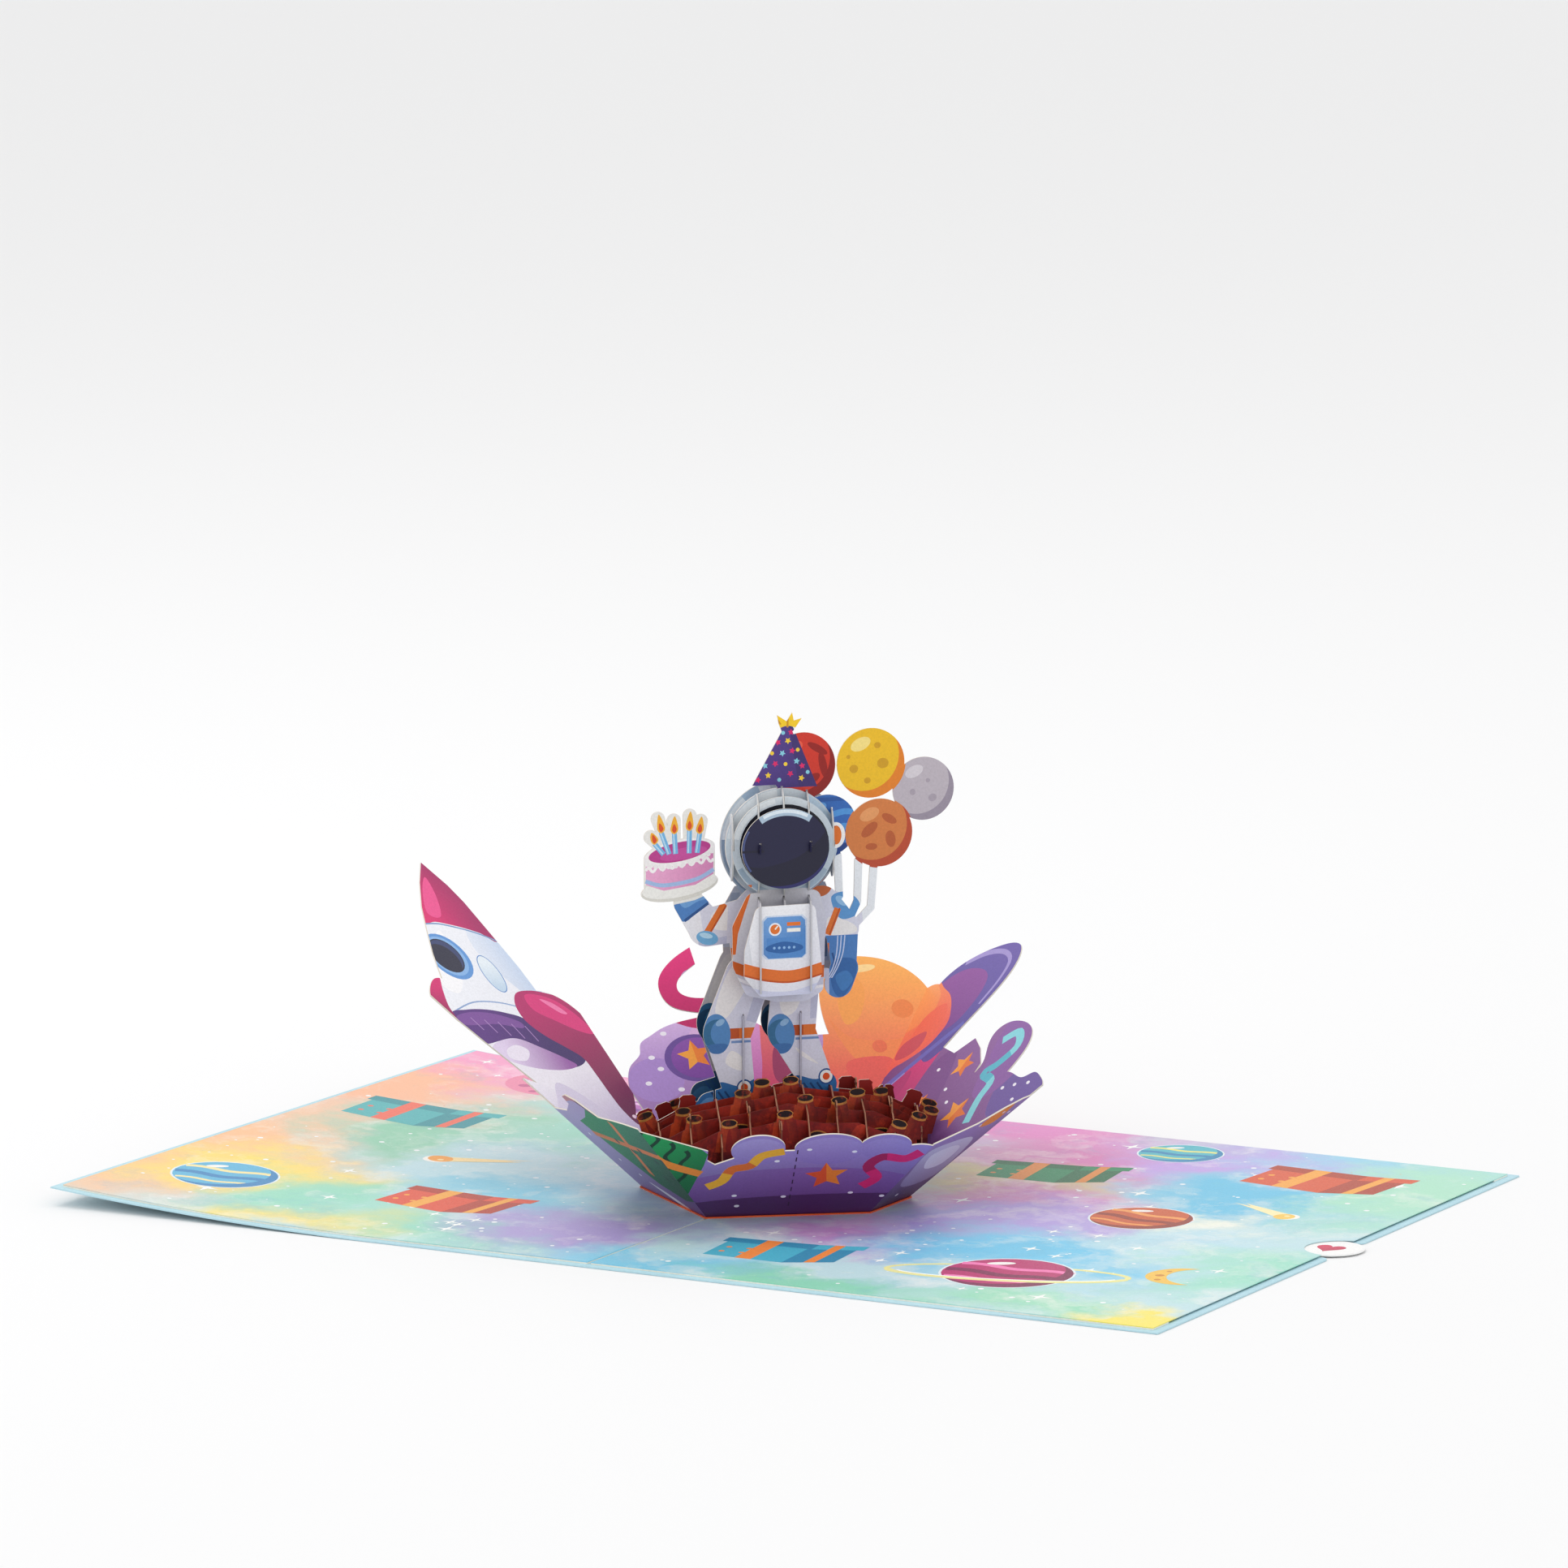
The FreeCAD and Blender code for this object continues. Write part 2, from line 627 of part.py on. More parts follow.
def half_laps(long_face, long_x, cross_face, cross_x):
    """Slots for one crossing: the long slice is cut above the lap, the cross slice below it."""
    long_cuts = []
    cross_cuts = []
    for long_low, long_high in spans(long_face, long_x):
        for cross_low, cross_high in spans(cross_face, cross_x):
            low = max(long_low, cross_low)
            high = min(long_high, cross_high)
            if high - low < 0.6:
                continue
            lap = (low + high) / 2
            above = 2.0 if long_high - high < OPEN_LIMIT else SLIT_END
            below = 2.0 if low - cross_low < OPEN_LIMIT else SLIT_END
            top = long_high + above if above > SLIT_END else high + above
            bottom = cross_low - below if below > SLIT_END else low - below
            long_cuts.append(box(long_x - slot_width / 2, lap, long_x + slot_width / 2, top))
            cross_cuts.append(box(cross_x - slot_width / 2, bottom, cross_x + slot_width / 2, lap))
    return long_cuts, cross_cuts


OPEN_LIMIT = 2.5
SLIT_END = 0.4

# Mound: both sets of slices follow one dome, with little chimneys standing on their edges
half_mound = size("mound_length") / 2
half_depth = size("mound_depth") / 2


def mound_top(along, across):
    away = (along / (half_mound * 1.08)) ** 2 + ((across - size("mound_middle")) / (half_depth * 1.1)) ** 2
    return size("mound_peak") - size("mound_drop") * away


def mound_reach(across):
    return half_mound * math.sqrt(max(0.05, 1 - ((across - size("mound_middle")) / half_depth) ** 2))


def chimney(x, y, lean=0.0):
    """A crater's little cone with its worn mouth, seen from the side."""
    mouth = [turned(a, b, -20 * lean) for a, b in
             ((1.9, -0.4), (2.1, 0.2), (1.2, 0.9), (-1.2, 0.9), (-2.1, 0.2), (-1.9, -0.4))]
    return [poly((x - 3, y - 4), (x + 3, y - 4), *((x + 3.2 * lean + p.x, y + 2 + p.y) for p in mouth))]


RIM_THICKNESS = 6


def mound_slice(reach_low, reach_high, top_at, chimneys):
    """A slice of the mound, its foot on the floor and its ends tapering up to thin tips."""
    steps = 6
    crest = []
    for i in range(steps + 1):
        x = reach_low + (reach_high - reach_low) * i / steps
        ripple = 0.7 if i % 2 else -0.4
        crest.append((x, top_at(x) + ripple))
    foot_low = reach_low * 0.5
    foot_high = reach_high * 0.5
    under = [(reach_high, crest[-1][1] - RIM_THICKNESS), (foot_high, floor_top),
             (foot_low, floor_top), (reach_low, crest[0][1] - RIM_THICKNESS)]
    parts = [poly(*(crest + under))]
    for x in chimneys:
        lean = 0.9 if x > reach_high - 6 else -0.9 if x < reach_low + 6 else 0.0
        parts.extend(chimney(x, top_at(x), lean))
    return parts


def long_mound(step, chimneys):
    across = long_offset(step)
    shift = long_shift(step) - size("figure_shift")
    reach = mound_reach(across)
    return mound_slice(-reach + shift, reach + shift, lambda x: mound_top(x - shift, across), chimneys)


def cross_mound(position, chimneys):
    at = position + size("figure_shift")
    reach = half_depth * math.sqrt(max(0.05, 1 - (at / half_mound) ** 2))
    middle = size("mound_middle")
    return mound_slice(middle - reach, middle + reach, lambda s: mound_top(at, s), chimneys)


# Figure outlines; x = 0 is the figure's middle
helmet = size("helmet_level")
hip = size("hip_level")
knee = size("knee_level")
ankle = size("ankle_level")
sole = size("sole_level")
shoulder = 71.5
neck_base = 70
neck_top = 78


def legs(dx, dy):
    """Both legs from the hips to the shoes, striding slightly to the left."""
    parts = []
    for hip_x, knee_x, ankle_x, heel_x, toe_x, lift in ((-8.6, -13.9, -11.3, -10.2, -18.6, 0.0),
                                                       (3.6, 2.4, 8.2, 10.6, 4.8, 1.6)):
        parts += limb(hip_x + dx, hip + 3 + dy, 6, knee_x + dx, knee + dy, 6.1)
        parts += limb(knee_x + dx, knee + dy, 5.7, ankle_x + dx, ankle + lift * 0.4 + dy, 4.2)
        parts += limb(heel_x + dx, sole + 1.6 + lift + dy, 3.3, toe_x + dx, sole - 0.2 + lift * 0.4 + dy, 3)
    return parts


def hat():
    base = size("hat_base")
    top = size("hat_top")
    half = size("hat_width") / 2
    tip = 1.5
    return [poly((-half, base), (half, base), (tip + 0.9, top), (tip - 0.9, top)),
            poly((tip - 1.4, top - 1), (tip + 1.4, top - 1), (tip + 3.6, top + 2.1), (tip + 1.6, top + 1.6),
                 (tip + 1.2, top + 3.6), (tip - 0.2, top + 1.5), (tip - 2.6, top + 3.1), (tip - 2.2, top + 1))]


def cake():
    """A round cake on a plate, held up on one hand, with five candles."""
    x, y, tilt = -25.8, 76.2, 9
    parts = [oval(x, y, 19.6, 6.4, tilt), oval(x, y + 8.6, 18, 6.2, tilt),
             poly((x - 8.9, y + 0.2), (x + 8.9, y + 2.4), (x + 8.9, y + 9.8), (x - 8.9, y + 7.4))]
    for foot, tip, height in ((-4, -7.2, 12.6), (-2.6, -5.4, 17), (-1, -1.4, 16.4), (2.4, 2.6, 17.4),
                              (4.4, 5.4, 16)):
        parts += limb(x + foot, y + 9, 1.3, x + tip, y + height, 1.75)
    return parts


def balloons():
    r = size("balloon_radius")
    strings = [(14.2, 82, 14.6, 72), (19.5, 80.5, 19.2, 70.5), (19.2, 70.5, 16.6, 65),
               (23.4, 79.5, 22.6, 68.8), (22.6, 68.8, 17.4, 63.6)]
    parts = [disc(22.6, 104.5, r + 0.2), disc(36, 97.6, r - 0.6), disc(24.8, 87.2, r),
             disc(5.4, 104.6, r - 0.2), disc(11.4, 89.6, r - 0.8)]
    for x0, y0, x1, y1 in strings:
        parts += limb(x0, y0, 1, x1, y1, 0.95)
    return parts


def full_figure():
    """The slice with the whole outline: hat, helmet, arms, body and the leading legs."""
    torso = poly((-12.6, 71), (-9, 74.6), (8, 75), (11, 73.4), (10.6, 62), (10.4, hip - 1), (-11.5, hip - 1),
                 (-13.2, 62))
    left_arm = limb(-9.5, 67.4, 5.2, -19, 65.8, 4.6) + limb(-19, 65.8, 4.5, -23.6, 72.4, 3.7)
    right_arm = (limb(10, 70, 4.8, 15.2, 64, 4.4) + limb(15.2, 64, 4.2, 15.8, 54, 3.1)
                 + limb(15.8, 54, 3.6, 14.4, 50.4, 3.6) + limb(14.4, 51.4, 1.7, 11.2, 53, 1.3))
    return (hat() + [oval(0, helmet, size("helmet_width"), size("helmet_tall")),
                     oval(13.8, helmet + 1.5, 5.2, 6.8), box(-5.4, neck_base, 5.4, neck_top), torso]
            + left_arm + right_arm + cake() + balloons() + legs(0, 0))


def back_figure():
    pack = poly((-14.2, hip + 2), (-14.8, 69), (-11.5, 74.6), (11.5, 74.6), (13.2, 70), (12.8, hip + 2))
    return [disc(0, helmet - 0.4, size("shell_radius")), pack] + legs(-1.2, 1.6)


def chest_figure():
    chest = rounded(poly((-9, 74.9), (8.8, 75.1), (10.6, 69), (10, 50), (5.5, 47.6), (-2, 47.8), (-9.6, 49.8),
                         (-12.9, 57), (-13, 67)), 2.2)
    return [oval(0, helmet + 0.3, size("ring_width"), size("ring_tall")), box(-5.4, neck_base, 5.4, neck_top),
            chest]


def chest_plate():
    return [rounded(poly((-7.4, 72.6), (7.4, 72.8), (9.3, 55.6), (6.6, 50.6), (-6.4, 50.4), (-10.5, 55.4),
                         (-10.4, 62)), 2)]


def head_rib(across):
    """A cross rib of the helmet; the two beside the middle carry a nub that holds the visor."""
    tall = 2 * (size("shell_radius") - 1) * math.sqrt(1 - (across / 15.6) ** 2)
    depth = tall * 0.73
    shell = oval(-1.5 - abs(across) * 0.08, helmet - 0.2, depth, tall)
    parts = [facing_up(shell.cut(box(-30, 0, 30, shoulder + 2.8)).Faces[0])]
    if 0 < abs(across) < 1.5 * rib_pitch:
        parts.append(box(0, helmet, 10.9, helmet + 2.2))
    return parts


def body_rib(across):
    """A cross rib of the body; the outer ones reach through the chest plate."""
    front = 11.3 if across else 8.8
    back = -11.2
    return [poly((back, hip + 2.6), (back + 1.2, hip + 1.4), (front, hip + 1.4), (front, shoulder + 1),
                 (front - 1, shoulder + 2), (back + 2, shoulder + 2), (back, shoulder - 2))]


HEAD_RIBS = (-2, -1, 0, 1, 2)
BODY_RIBS = (-1, 0, 1)
BACK_STEP, FIGURE_STEP, CHEST_STEP, PLATE_STEP = -2, -1, 0, 1
MOUND_STEPS = (-3, 0, 1, 2, 3)
CROSS_FIRST, CROSS_LAST = -3, 6
LEG_CROSSES = (0, 2)
LEG_RIB_X = -9.9

# Long slices: name, step and outline
long_slices = {
    "figure_back": (BACK_STEP, joined(*back_figure(), *long_mound(BACK_STEP, (-27, 17, 27)))),
    "figure_full": (FIGURE_STEP, joined(*full_figure(), *long_mound(FIGURE_STEP, (-32, -24, 21, 31)))),
    "figure_chest": (CHEST_STEP, joined(*chest_figure())),
    "chest_plate": (PLATE_STEP, joined(*chest_plate())),
    "visor": (PLATE_STEP, oval(0, helmet + 1, size("visor_width"), size("visor_tall"))),
}
MOUND_CHIMNEYS = {-3: (-20, -5.5, 16), 0: (-33, -6.3, 1, 24, 33.5), 1: (-28, -13, 16, 32),
                  2: (-27, 1, 9.5, 27), 3: (-20, -6, 20)}
for number, step in enumerate(MOUND_STEPS, start=1):
    long_slices[f"mound_slice_{number}"] = (step, joined(*long_mound(step, MOUND_CHIMNEYS[step])))

# Outlines are moved to where the figure's middle falls, then trimmed to the bowl
long_faces = {}
for name, (step, face) in long_slices.items():
    moved = face.copy()
    shift = long_shift(step) if step in (BACK_STEP, FIGURE_STEP, CHEST_STEP, PLATE_STEP) else 0
    moved.translate(V(shift if not name.startswith("mound") else size("figure_shift"), 0, 0))
    long_faces[name] = (step, trimmed(moved, long_placement(step)))

# Cross slices: the figure's ribs, and the mound's, two of which climb inside the legs
cross_slices = {}
for number, index in enumerate(HEAD_RIBS, start=1):
    across = index * rib_pitch
    cross_slices[f"head_rib_{number}"] = (across, joined(*head_rib(across)))
for number, index in enumerate(BODY_RIBS, start=1):
    across = index * rib_pitch
    cross_slices[f"body_rib_{number}"] = (across, joined(*body_rib(across)))
CROSS_CHIMNEYS = {-3: (), -2: (14,), -1: (-12,), 0: (19,), 1: (26,), 2: (), 3: (19,), 4: (-9,), 5: (12,), 6: ()}
for number, index in enumerate(range(CROSS_FIRST, CROSS_LAST + 1), start=1):
    across = LEG_RIB_X + index * rock_pitch
    parts = cross_mound(across, CROSS_CHIMNEYS[index])
    if index in LEG_CROSSES:
        parts.append(box(cross_reach(BACK_STEP) - 1.2, 16, cross_reach(FIGURE_STEP) + 1.2, knee + 4))
    cross_slices[f"cross_slice_{number}"] = (across, joined(*parts))
cross_faces = {name: (across, trimmed(face, cross_placement(across)))
               for name, (across, face) in cross_slices.items()}

# Every crossing gets its pair of slots
long_cuts = {name: [] for name in long_faces}
cross_cuts = {name: [] for name in cross_faces}
for long_name, (step, long_face) in long_faces.items():
    for cross_name, (across, cross_face) in cross_faces.items():
        long_x = long_shift(step) + across
        above, below = half_laps(long_face, long_x, cross_face, cross_reach(step))
        long_cuts[long_name] += above
        cross_cuts[cross_name] += below

for name, (step, face) in long_faces.items():
    body = plate(name, face, "Sizes.slice_board", cuts=long_cuts[name])
    body.Placement = long_placement(step)
    keep(body, name)
for name, (across, face) in cross_faces.items():
    body = plate(name, face, "Sizes.slice_board", cuts=cross_cuts[name])
    body.Placement = cross_placement(across)
    keep(body, name)

doc.recompute()

# Specks of card left where a slot runs out at a sloping edge are cut away
for body in nodes:
    if body.TypeId != "PartDesign::Body" or len(body.Shape.Solids) < 2:
        continue
    local = body.Shape.copy()
    local.Placement = body.Placement.inverse().multiply(local.Placement)
    specks = sorted(local.Solids, key=lambda solid: solid.Volume)[:-1]
    trims = new_sketch(body, body.Name + "_specks", "XZ_Plane")
    for speck in specks:
        b = speck.BoundBox
        draw(trims, box(b.XMin - 0.08, b.ZMin - 0.08, b.XMax + 0.08, b.ZMax + 0.08))
    trim = body.newObject("PartDesign::Pocket", body.Name + "_trim")
    trim.Profile = trims
    trim.Type = "ThroughAll"
    trim.Midplane = True
doc.recompute()

# Nothing is written unless every object and every sub-part is sound
for obj in doc.Objects:
    if "Invalid" in obj.State or "Error" in obj.State:
        raise RuntimeError(f"{obj.Label} failed: {obj.State}")
for obj in nodes:
    shape = obj.Shape
    if shape.isNull() or not shape.isValid() or not shape.Solids:
        raise RuntimeError(f"{obj.Label} has no sound shape")
    if len(shape.Solids) != 1:
        print("several solids:", obj.Label, [round(s.Volume, 3) for s in shape.Solids])

os.makedirs("parts", exist_ok=True)
for obj in nodes:
    obj.Shape.exportStep(f"parts/{obj.Label}.step")
    bounds = obj.Shape.BoundBox
    print(f"{obj.Label}: {obj.Shape.Volume:.1f} mm3, z {bounds.ZMin:.2f} to {bounds.ZMax:.2f}")
print(len(nodes), "sub-parts")
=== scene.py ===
# %% Frame
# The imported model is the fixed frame; everything below dresses it.
import math
import random
import bpy
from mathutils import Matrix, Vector
from mathutils.geometry import delaunay_2d_cdt


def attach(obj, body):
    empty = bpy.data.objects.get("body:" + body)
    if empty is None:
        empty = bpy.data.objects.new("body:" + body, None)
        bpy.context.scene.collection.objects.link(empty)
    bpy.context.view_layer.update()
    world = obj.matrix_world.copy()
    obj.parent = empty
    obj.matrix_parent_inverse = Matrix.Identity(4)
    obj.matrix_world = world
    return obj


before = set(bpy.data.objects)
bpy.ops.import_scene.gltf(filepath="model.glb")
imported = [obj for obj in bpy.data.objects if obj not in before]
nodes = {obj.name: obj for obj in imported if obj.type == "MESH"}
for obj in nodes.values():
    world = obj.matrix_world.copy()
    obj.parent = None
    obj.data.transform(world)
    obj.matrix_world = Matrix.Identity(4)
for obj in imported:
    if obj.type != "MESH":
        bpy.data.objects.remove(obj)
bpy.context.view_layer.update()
print("card nodes:", len(nodes))
scene = bpy.context.scene
MM = 0.001


# %% [markdown]
# Flat outlines, in millimetres. A print is a list of (outline, paint), lowest first. Paint is one colour,
# or two colours with the points where each is pure.

# %% Flat outlines
def disc(x, y, r, sides=30):
    return [(x + r * math.cos(6.28318 * i / sides), y + r * math.sin(6.28318 * i / sides))
            for i in range(sides)]


def oval(x, y, wide, tall, tilt=0, sides=36):
    c, s = math.cos(math.radians(tilt)), math.sin(math.radians(tilt))
    ring = [(wide / 2 * math.cos(6.28318 * i / sides), tall / 2 * math.sin(6.28318 * i / sides))
            for i in range(sides)]
    return [(x + a * c - b * s, y + a * s + b * c) for a, b in ring]


def box(x0, y0, x1, y1):
    return [(x0, y0), (x1, y0), (x1, y1), (x0, y1)]


def star(x, y, r, points=5, waist=0.45, turn=90):
    ring = []
    for i in range(2 * points):
        a = math.radians(turn + 180 * i / points)
        d = r if i % 2 == 0 else r * waist
        ring.append((x + d * math.cos(a), y + d * math.sin(a)))
    return ring


def soft(points, steps=6):
    """A closed smooth curve through the points."""
    n = len(points)
    ring = []
    for i in range(n):
        p0, p1, p2, p3 = (points[(i + k - 1) % n] for k in range(4))
        for j in range(steps):
            t = j / steps
            ring.append(tuple(0.5 * (2 * b + (c - a) * t + (2 * a - 5 * b + 4 * c - d) * t * t
                                     + (3 * b - a - 3 * c + d) * t ** 3)
                              for a, b, c, d in zip(p0, p1, p2, p3)))
    return ring


def band(points, width, taper=1.0):
    """A strip that follows the points; its width at the far end is width * taper."""
    left, right = [], []
    last = len(points) - 1
    for i, (x, y) in enumerate(points):
        ax, ay = points[max(i - 1, 0)]
        bx, by = points[min(i + 1, last)]
        length = math.hypot(bx - ax, by - ay)
        half = width / 2 * (1 + (taper - 1) * i / last)
        nx, ny = -(by - ay) / length * half, (bx - ax) / length * half
        left.append((x + nx, y + ny))
        right.append((x - nx, y - ny))
    return right + left[::-1]


def curve(points, steps=5):
    """An open smooth curve through the points."""
    pts = [points[0]] + list(points) + [points[-1]]
    out = []
    for i in range(1, len(pts) - 2):
        p0, p1, p2, p3 = pts[i - 1:i + 3]
        for j in range(steps):
            t = j / steps
            out.append(tuple(0.5 * (2 * b + (c - a) * t + (2 * a - 5 * b + 4 * c - d) * t * t
                                    + (3 * b - a - 3 * c + d) * t ** 3)
                             for a, b, c, d in zip(p0, p1, p2, p3)))
    return out + [points[-1]]


def wave(x0, x1, y, high, waves, width, tilt=0.0):
    """A wavy strip from x0 to x1."""
    steps = int(waves * 8)
    points = []
    for i in range(steps + 1):
        x = x0 + (x1 - x0) * i / steps
        points.append((x, y + tilt * (x - x0) + high * math.sin(6.28318 * waves * i / steps)))
    return band(points, width)


def arc_band(x, y, wide, tall, start, end, width, tilt=0):
    """Part of an oval ring between two angles."""
    c, s = math.cos(math.radians(tilt)), math.sin(math.radians(tilt))
    points = []
    for i in range(25):
        t = math.radians(start + (end - start) * i / 24)
        a, b = wide / 2 * math.cos(t), tall / 2 * math.sin(t)
        points.append((x + a * c - b * s, y + a * s + b * c))
    return band(points, width)


def crescent(x, y, r, shift_x, shift_y, sides=30):
    """The part of a disc left when a moved disc of the same size is taken off it."""
    gap = math.hypot(shift_x, shift_y)
    toward = math.atan2(shift_y, shift_x)
    open_angle = math.acos(gap / (2 * r))
    outer = [toward + open_angle + (6.28318 - 2 * open_angle) * i / sides for i in range(sides + 1)]
    ring = [(x + r * math.cos(a), y + r * math.sin(a)) for a in outer]
    inner = [toward + 3.14159 + open_angle - 2 * open_angle * i / sides for i in range(1, sides)]
    return ring + [(x + shift_x + r * math.cos(a), y + shift_y + r * math.sin(a))
                   for a in inner]


# %% [markdown]
# Planes that the card's sheets lie in. The numbers are the card's own: long slices stand at 45 degrees,
# cross slices lean 12 degrees from square, and the bowl's walls climb from a six-sided floor.

# %% Sheet planes
class Plane:
    def __init__(self, origin, along, up):
        self.origin = Vector(origin)
        self.along = Vector(along).normalized()
        self.up = Vector(up).normalized()
        self.out = self.along.cross(self.up)

    def flat(self, co):
        d = Vector(co) / MM - self.origin
        return (round(d.dot(self.along), 3), round(d.dot(self.up), 3)), d.dot(self.out)

    def lift(self, x, y, off):
        return (self.origin + self.along * x + self.up * y + self.out * off) * MM


FACING = math.radians(45)
SKEW = math.radians(12)
PITCH = 6.4
FIGURE_SHIFT = -1.7
FLOOR_TOP = 1.25


def long_plane(step, moved=True):
    d = (step + 0.5) * PITCH
    shift = FIGURE_SHIFT - math.tan(SKEW) * d if moved else 0.0
    c, s = math.cos(FACING), math.sin(FACING)
    return Plane((shift * c + d * s, shift * s - d * c, 0), (c, s, 0), (0, 0, 1))


def cross_plane(across):
    c, s = math.cos(FACING), math.sin(FACING)
    turn = FACING - math.pi / 2 - SKEW
    u = FIGURE_SHIFT + across
    return Plane((u * c, u * s, 0), (math.cos(turn), math.sin(turn), 0), (0, 0, 1))


def wall_planes():
    half_long, half_wide, half_side, middle, rise, splay = 33.9, 31.2, 10.1, -7.3, 0.83, 0.35
    side_rise = rise * (half_long - half_side + half_wide * splay) / half_wide
    corners = [((0, middle - half_long), (0, -1, rise)),
               ((half_wide, middle - half_side), (1, -splay, side_rise)),
               ((half_wide, middle + half_side), (1, splay, side_rise)),
               ((0, middle + half_long), (0, 1, rise)),
               ((-half_wide, middle + half_side), (-1, splay, side_rise)),
               ((-half_wide, middle - half_side), (-1, -splay, side_rise))]
    planes = []
    for i in range(6):
        start = Vector((*corners[i][0], FLOOR_TOP))
        end = Vector((*corners[(i + 1) % 6][0], FLOOR_TOP))
        along = (end - start).normalized()
        outward = along.cross(Vector(corners[i][1])).normalized()
        if outward.z > 0:
            outward = -outward
        planes.append(Plane((start + end) / 2, along, outward.cross(along)))
    return dict(zip(("front_right", "right", "back_right", "back_left", "left", "front_left"), planes))


WALLS = wall_planes()


# %% [markdown]
# Materials. Each is a real finish: coated print, bare board, washed colour, glue tape.

# %% Material helpers
def linear(code):
    out = []
    for i in (1, 3, 5):
        v = int(code[i:i + 2], 16) / 255
        out.append(v / 12.92 if v <= 0.04045 else ((v + 0.055) / 1.055) ** 2.4)
    return (*out, 1.0)


def add(tree, kind, links=None, **values):
    """One node; values set its properties, links set its inputs from sockets or constants."""
    node = tree.nodes.new(kind)
    for name, value in values.items():
        setattr(node, name, value)
    for name, value in (links or {}).items():
        socket = node.inputs[name]
        if isinstance(value, bpy.types.NodeSocket):
            tree.links.new(value, socket)
        else:
            socket.default_value = value
    return node


def new_material(name, roughness=0.5, specular=0.35):
    mat = bpy.data.materials.new(name)
    mat.use_nodes = True
    tree = mat.node_tree
    shader = tree.nodes["Principled BSDF"]
    shader.inputs["Roughness"].default_value = roughness
    shader.inputs["Specular IOR Level"].default_value = specular
    return mat, tree, shader


def object_point(tree):
    return add(tree, "ShaderNodeTexCoord").outputs["Object"]


def grain(tree, point, colour, low, high, scale=1800.0):
    """Fine speckle of ink on paper."""
    speck = add(
        tree,
        "ShaderNodeMapRange",
        {
            "Value": add(
                tree,
                "ShaderNodeTexNoise",
                {"Vector": point, "Scale": scale, "Detail": 2.0, "Roughness": 0.7}).outputs["Fac"],
            "From Min": 0.3,
            "From Max": 0.7,
            "To Min": low,
            "To Max": high}).outputs["Result"]
    tint = add(tree, "ShaderNodeCombineColor", {"Red": speck, "Green": speck, "Blue": speck}).outputs[0]
    return add(
        tree,
        "ShaderNodeMix",
        {"Factor": 1.0, 6: colour, 7: tint},
        data_type="RGBA",
        blend_type="MULTIPLY").outputs[2]


# %% [markdown]
# The real sheets are coated card, offset printed, with the bare grey-white core showing where they are cut.
# An image texture would give the ink; colour kept on the mesh is lighter and needs no file, so it is used here.

# %% Ink and board
def print_material(name, mottle=0.0, low=0.93, high=1.05, rough=0.42):
    """Ink on coated card: colour from the drawn fields, with paper grain and a slight sheen."""
    mat, tree, shader = new_material(name, rough, 0.4)
    point = object_point(tree)
    colour = add(tree, "ShaderNodeVertexColor", layer_name="ink").outputs["Color"]
    if mottle:
        blotch = add(
            tree,
            "ShaderNodeMapRange",
            {
                "Value": add(
                    tree,
                    "ShaderNodeTexNoise",
                    {"Vector": point, "Scale": 240.0, "Detail": 6.0, "Roughness": 0.7}).outputs["Fac"],
                "From Min": 0.42,
                "From Max": 0.66,
                "To Min": 0.0,
                "To Max": mottle}).outputs["Result"]
        colour = add(
            tree,
            "ShaderNodeMix",
            {"Factor": blotch, 6: colour, 7: linear("#2A0504")},
            data_type="RGBA",
            blend_type="MIX").outputs[2]
        vein = add(
            tree,
            "ShaderNodeMapRange",
            {
                "Value": add(
                    tree,
                    "ShaderNodeTexNoise",
                    {"Vector": point, "Scale": 420.0, "Detail": 5.0, "Roughness": 0.65}).outputs["Fac"],
                "From Min": 0.55,
                "From Max": 0.7,
                "To Min": 0.0,
                "To Max": 0.6}).outputs["Result"]
        colour = add(
            tree,
            "ShaderNodeMix",
            {"Factor": vein, 6: colour, 7: linear("#C23A1C")},
            data_type="RGBA",
            blend_type="MIX").outputs[2]
    colour = grain(tree, point, colour, low, high)
    tree.links.new(colour, shader.inputs["Base Color"])
    fibre = add(
        tree,
        "ShaderNodeTexNoise",
        {"Vector": point, "Scale": 2600.0, "Detail": 3.0, "Roughness": 0.6}).outputs["Fac"]
    tree.links.new(
        add(
            tree,
            "ShaderNodeMapRange",
            {"Value": fibre, "From Min": 0.3, "From Max": 0.7, "To Min": rough - 0.05,
             "To Max": rough + 0.09}).outputs["Result"],
        shader.inputs["Roughness"])
    tree.links.new(
        add(tree, "ShaderNodeBump", {"Height": fibre, "Strength": 0.25, "Distance": 0.00004}).outputs["Normal"],
        shader.inputs["Normal"])
    return mat


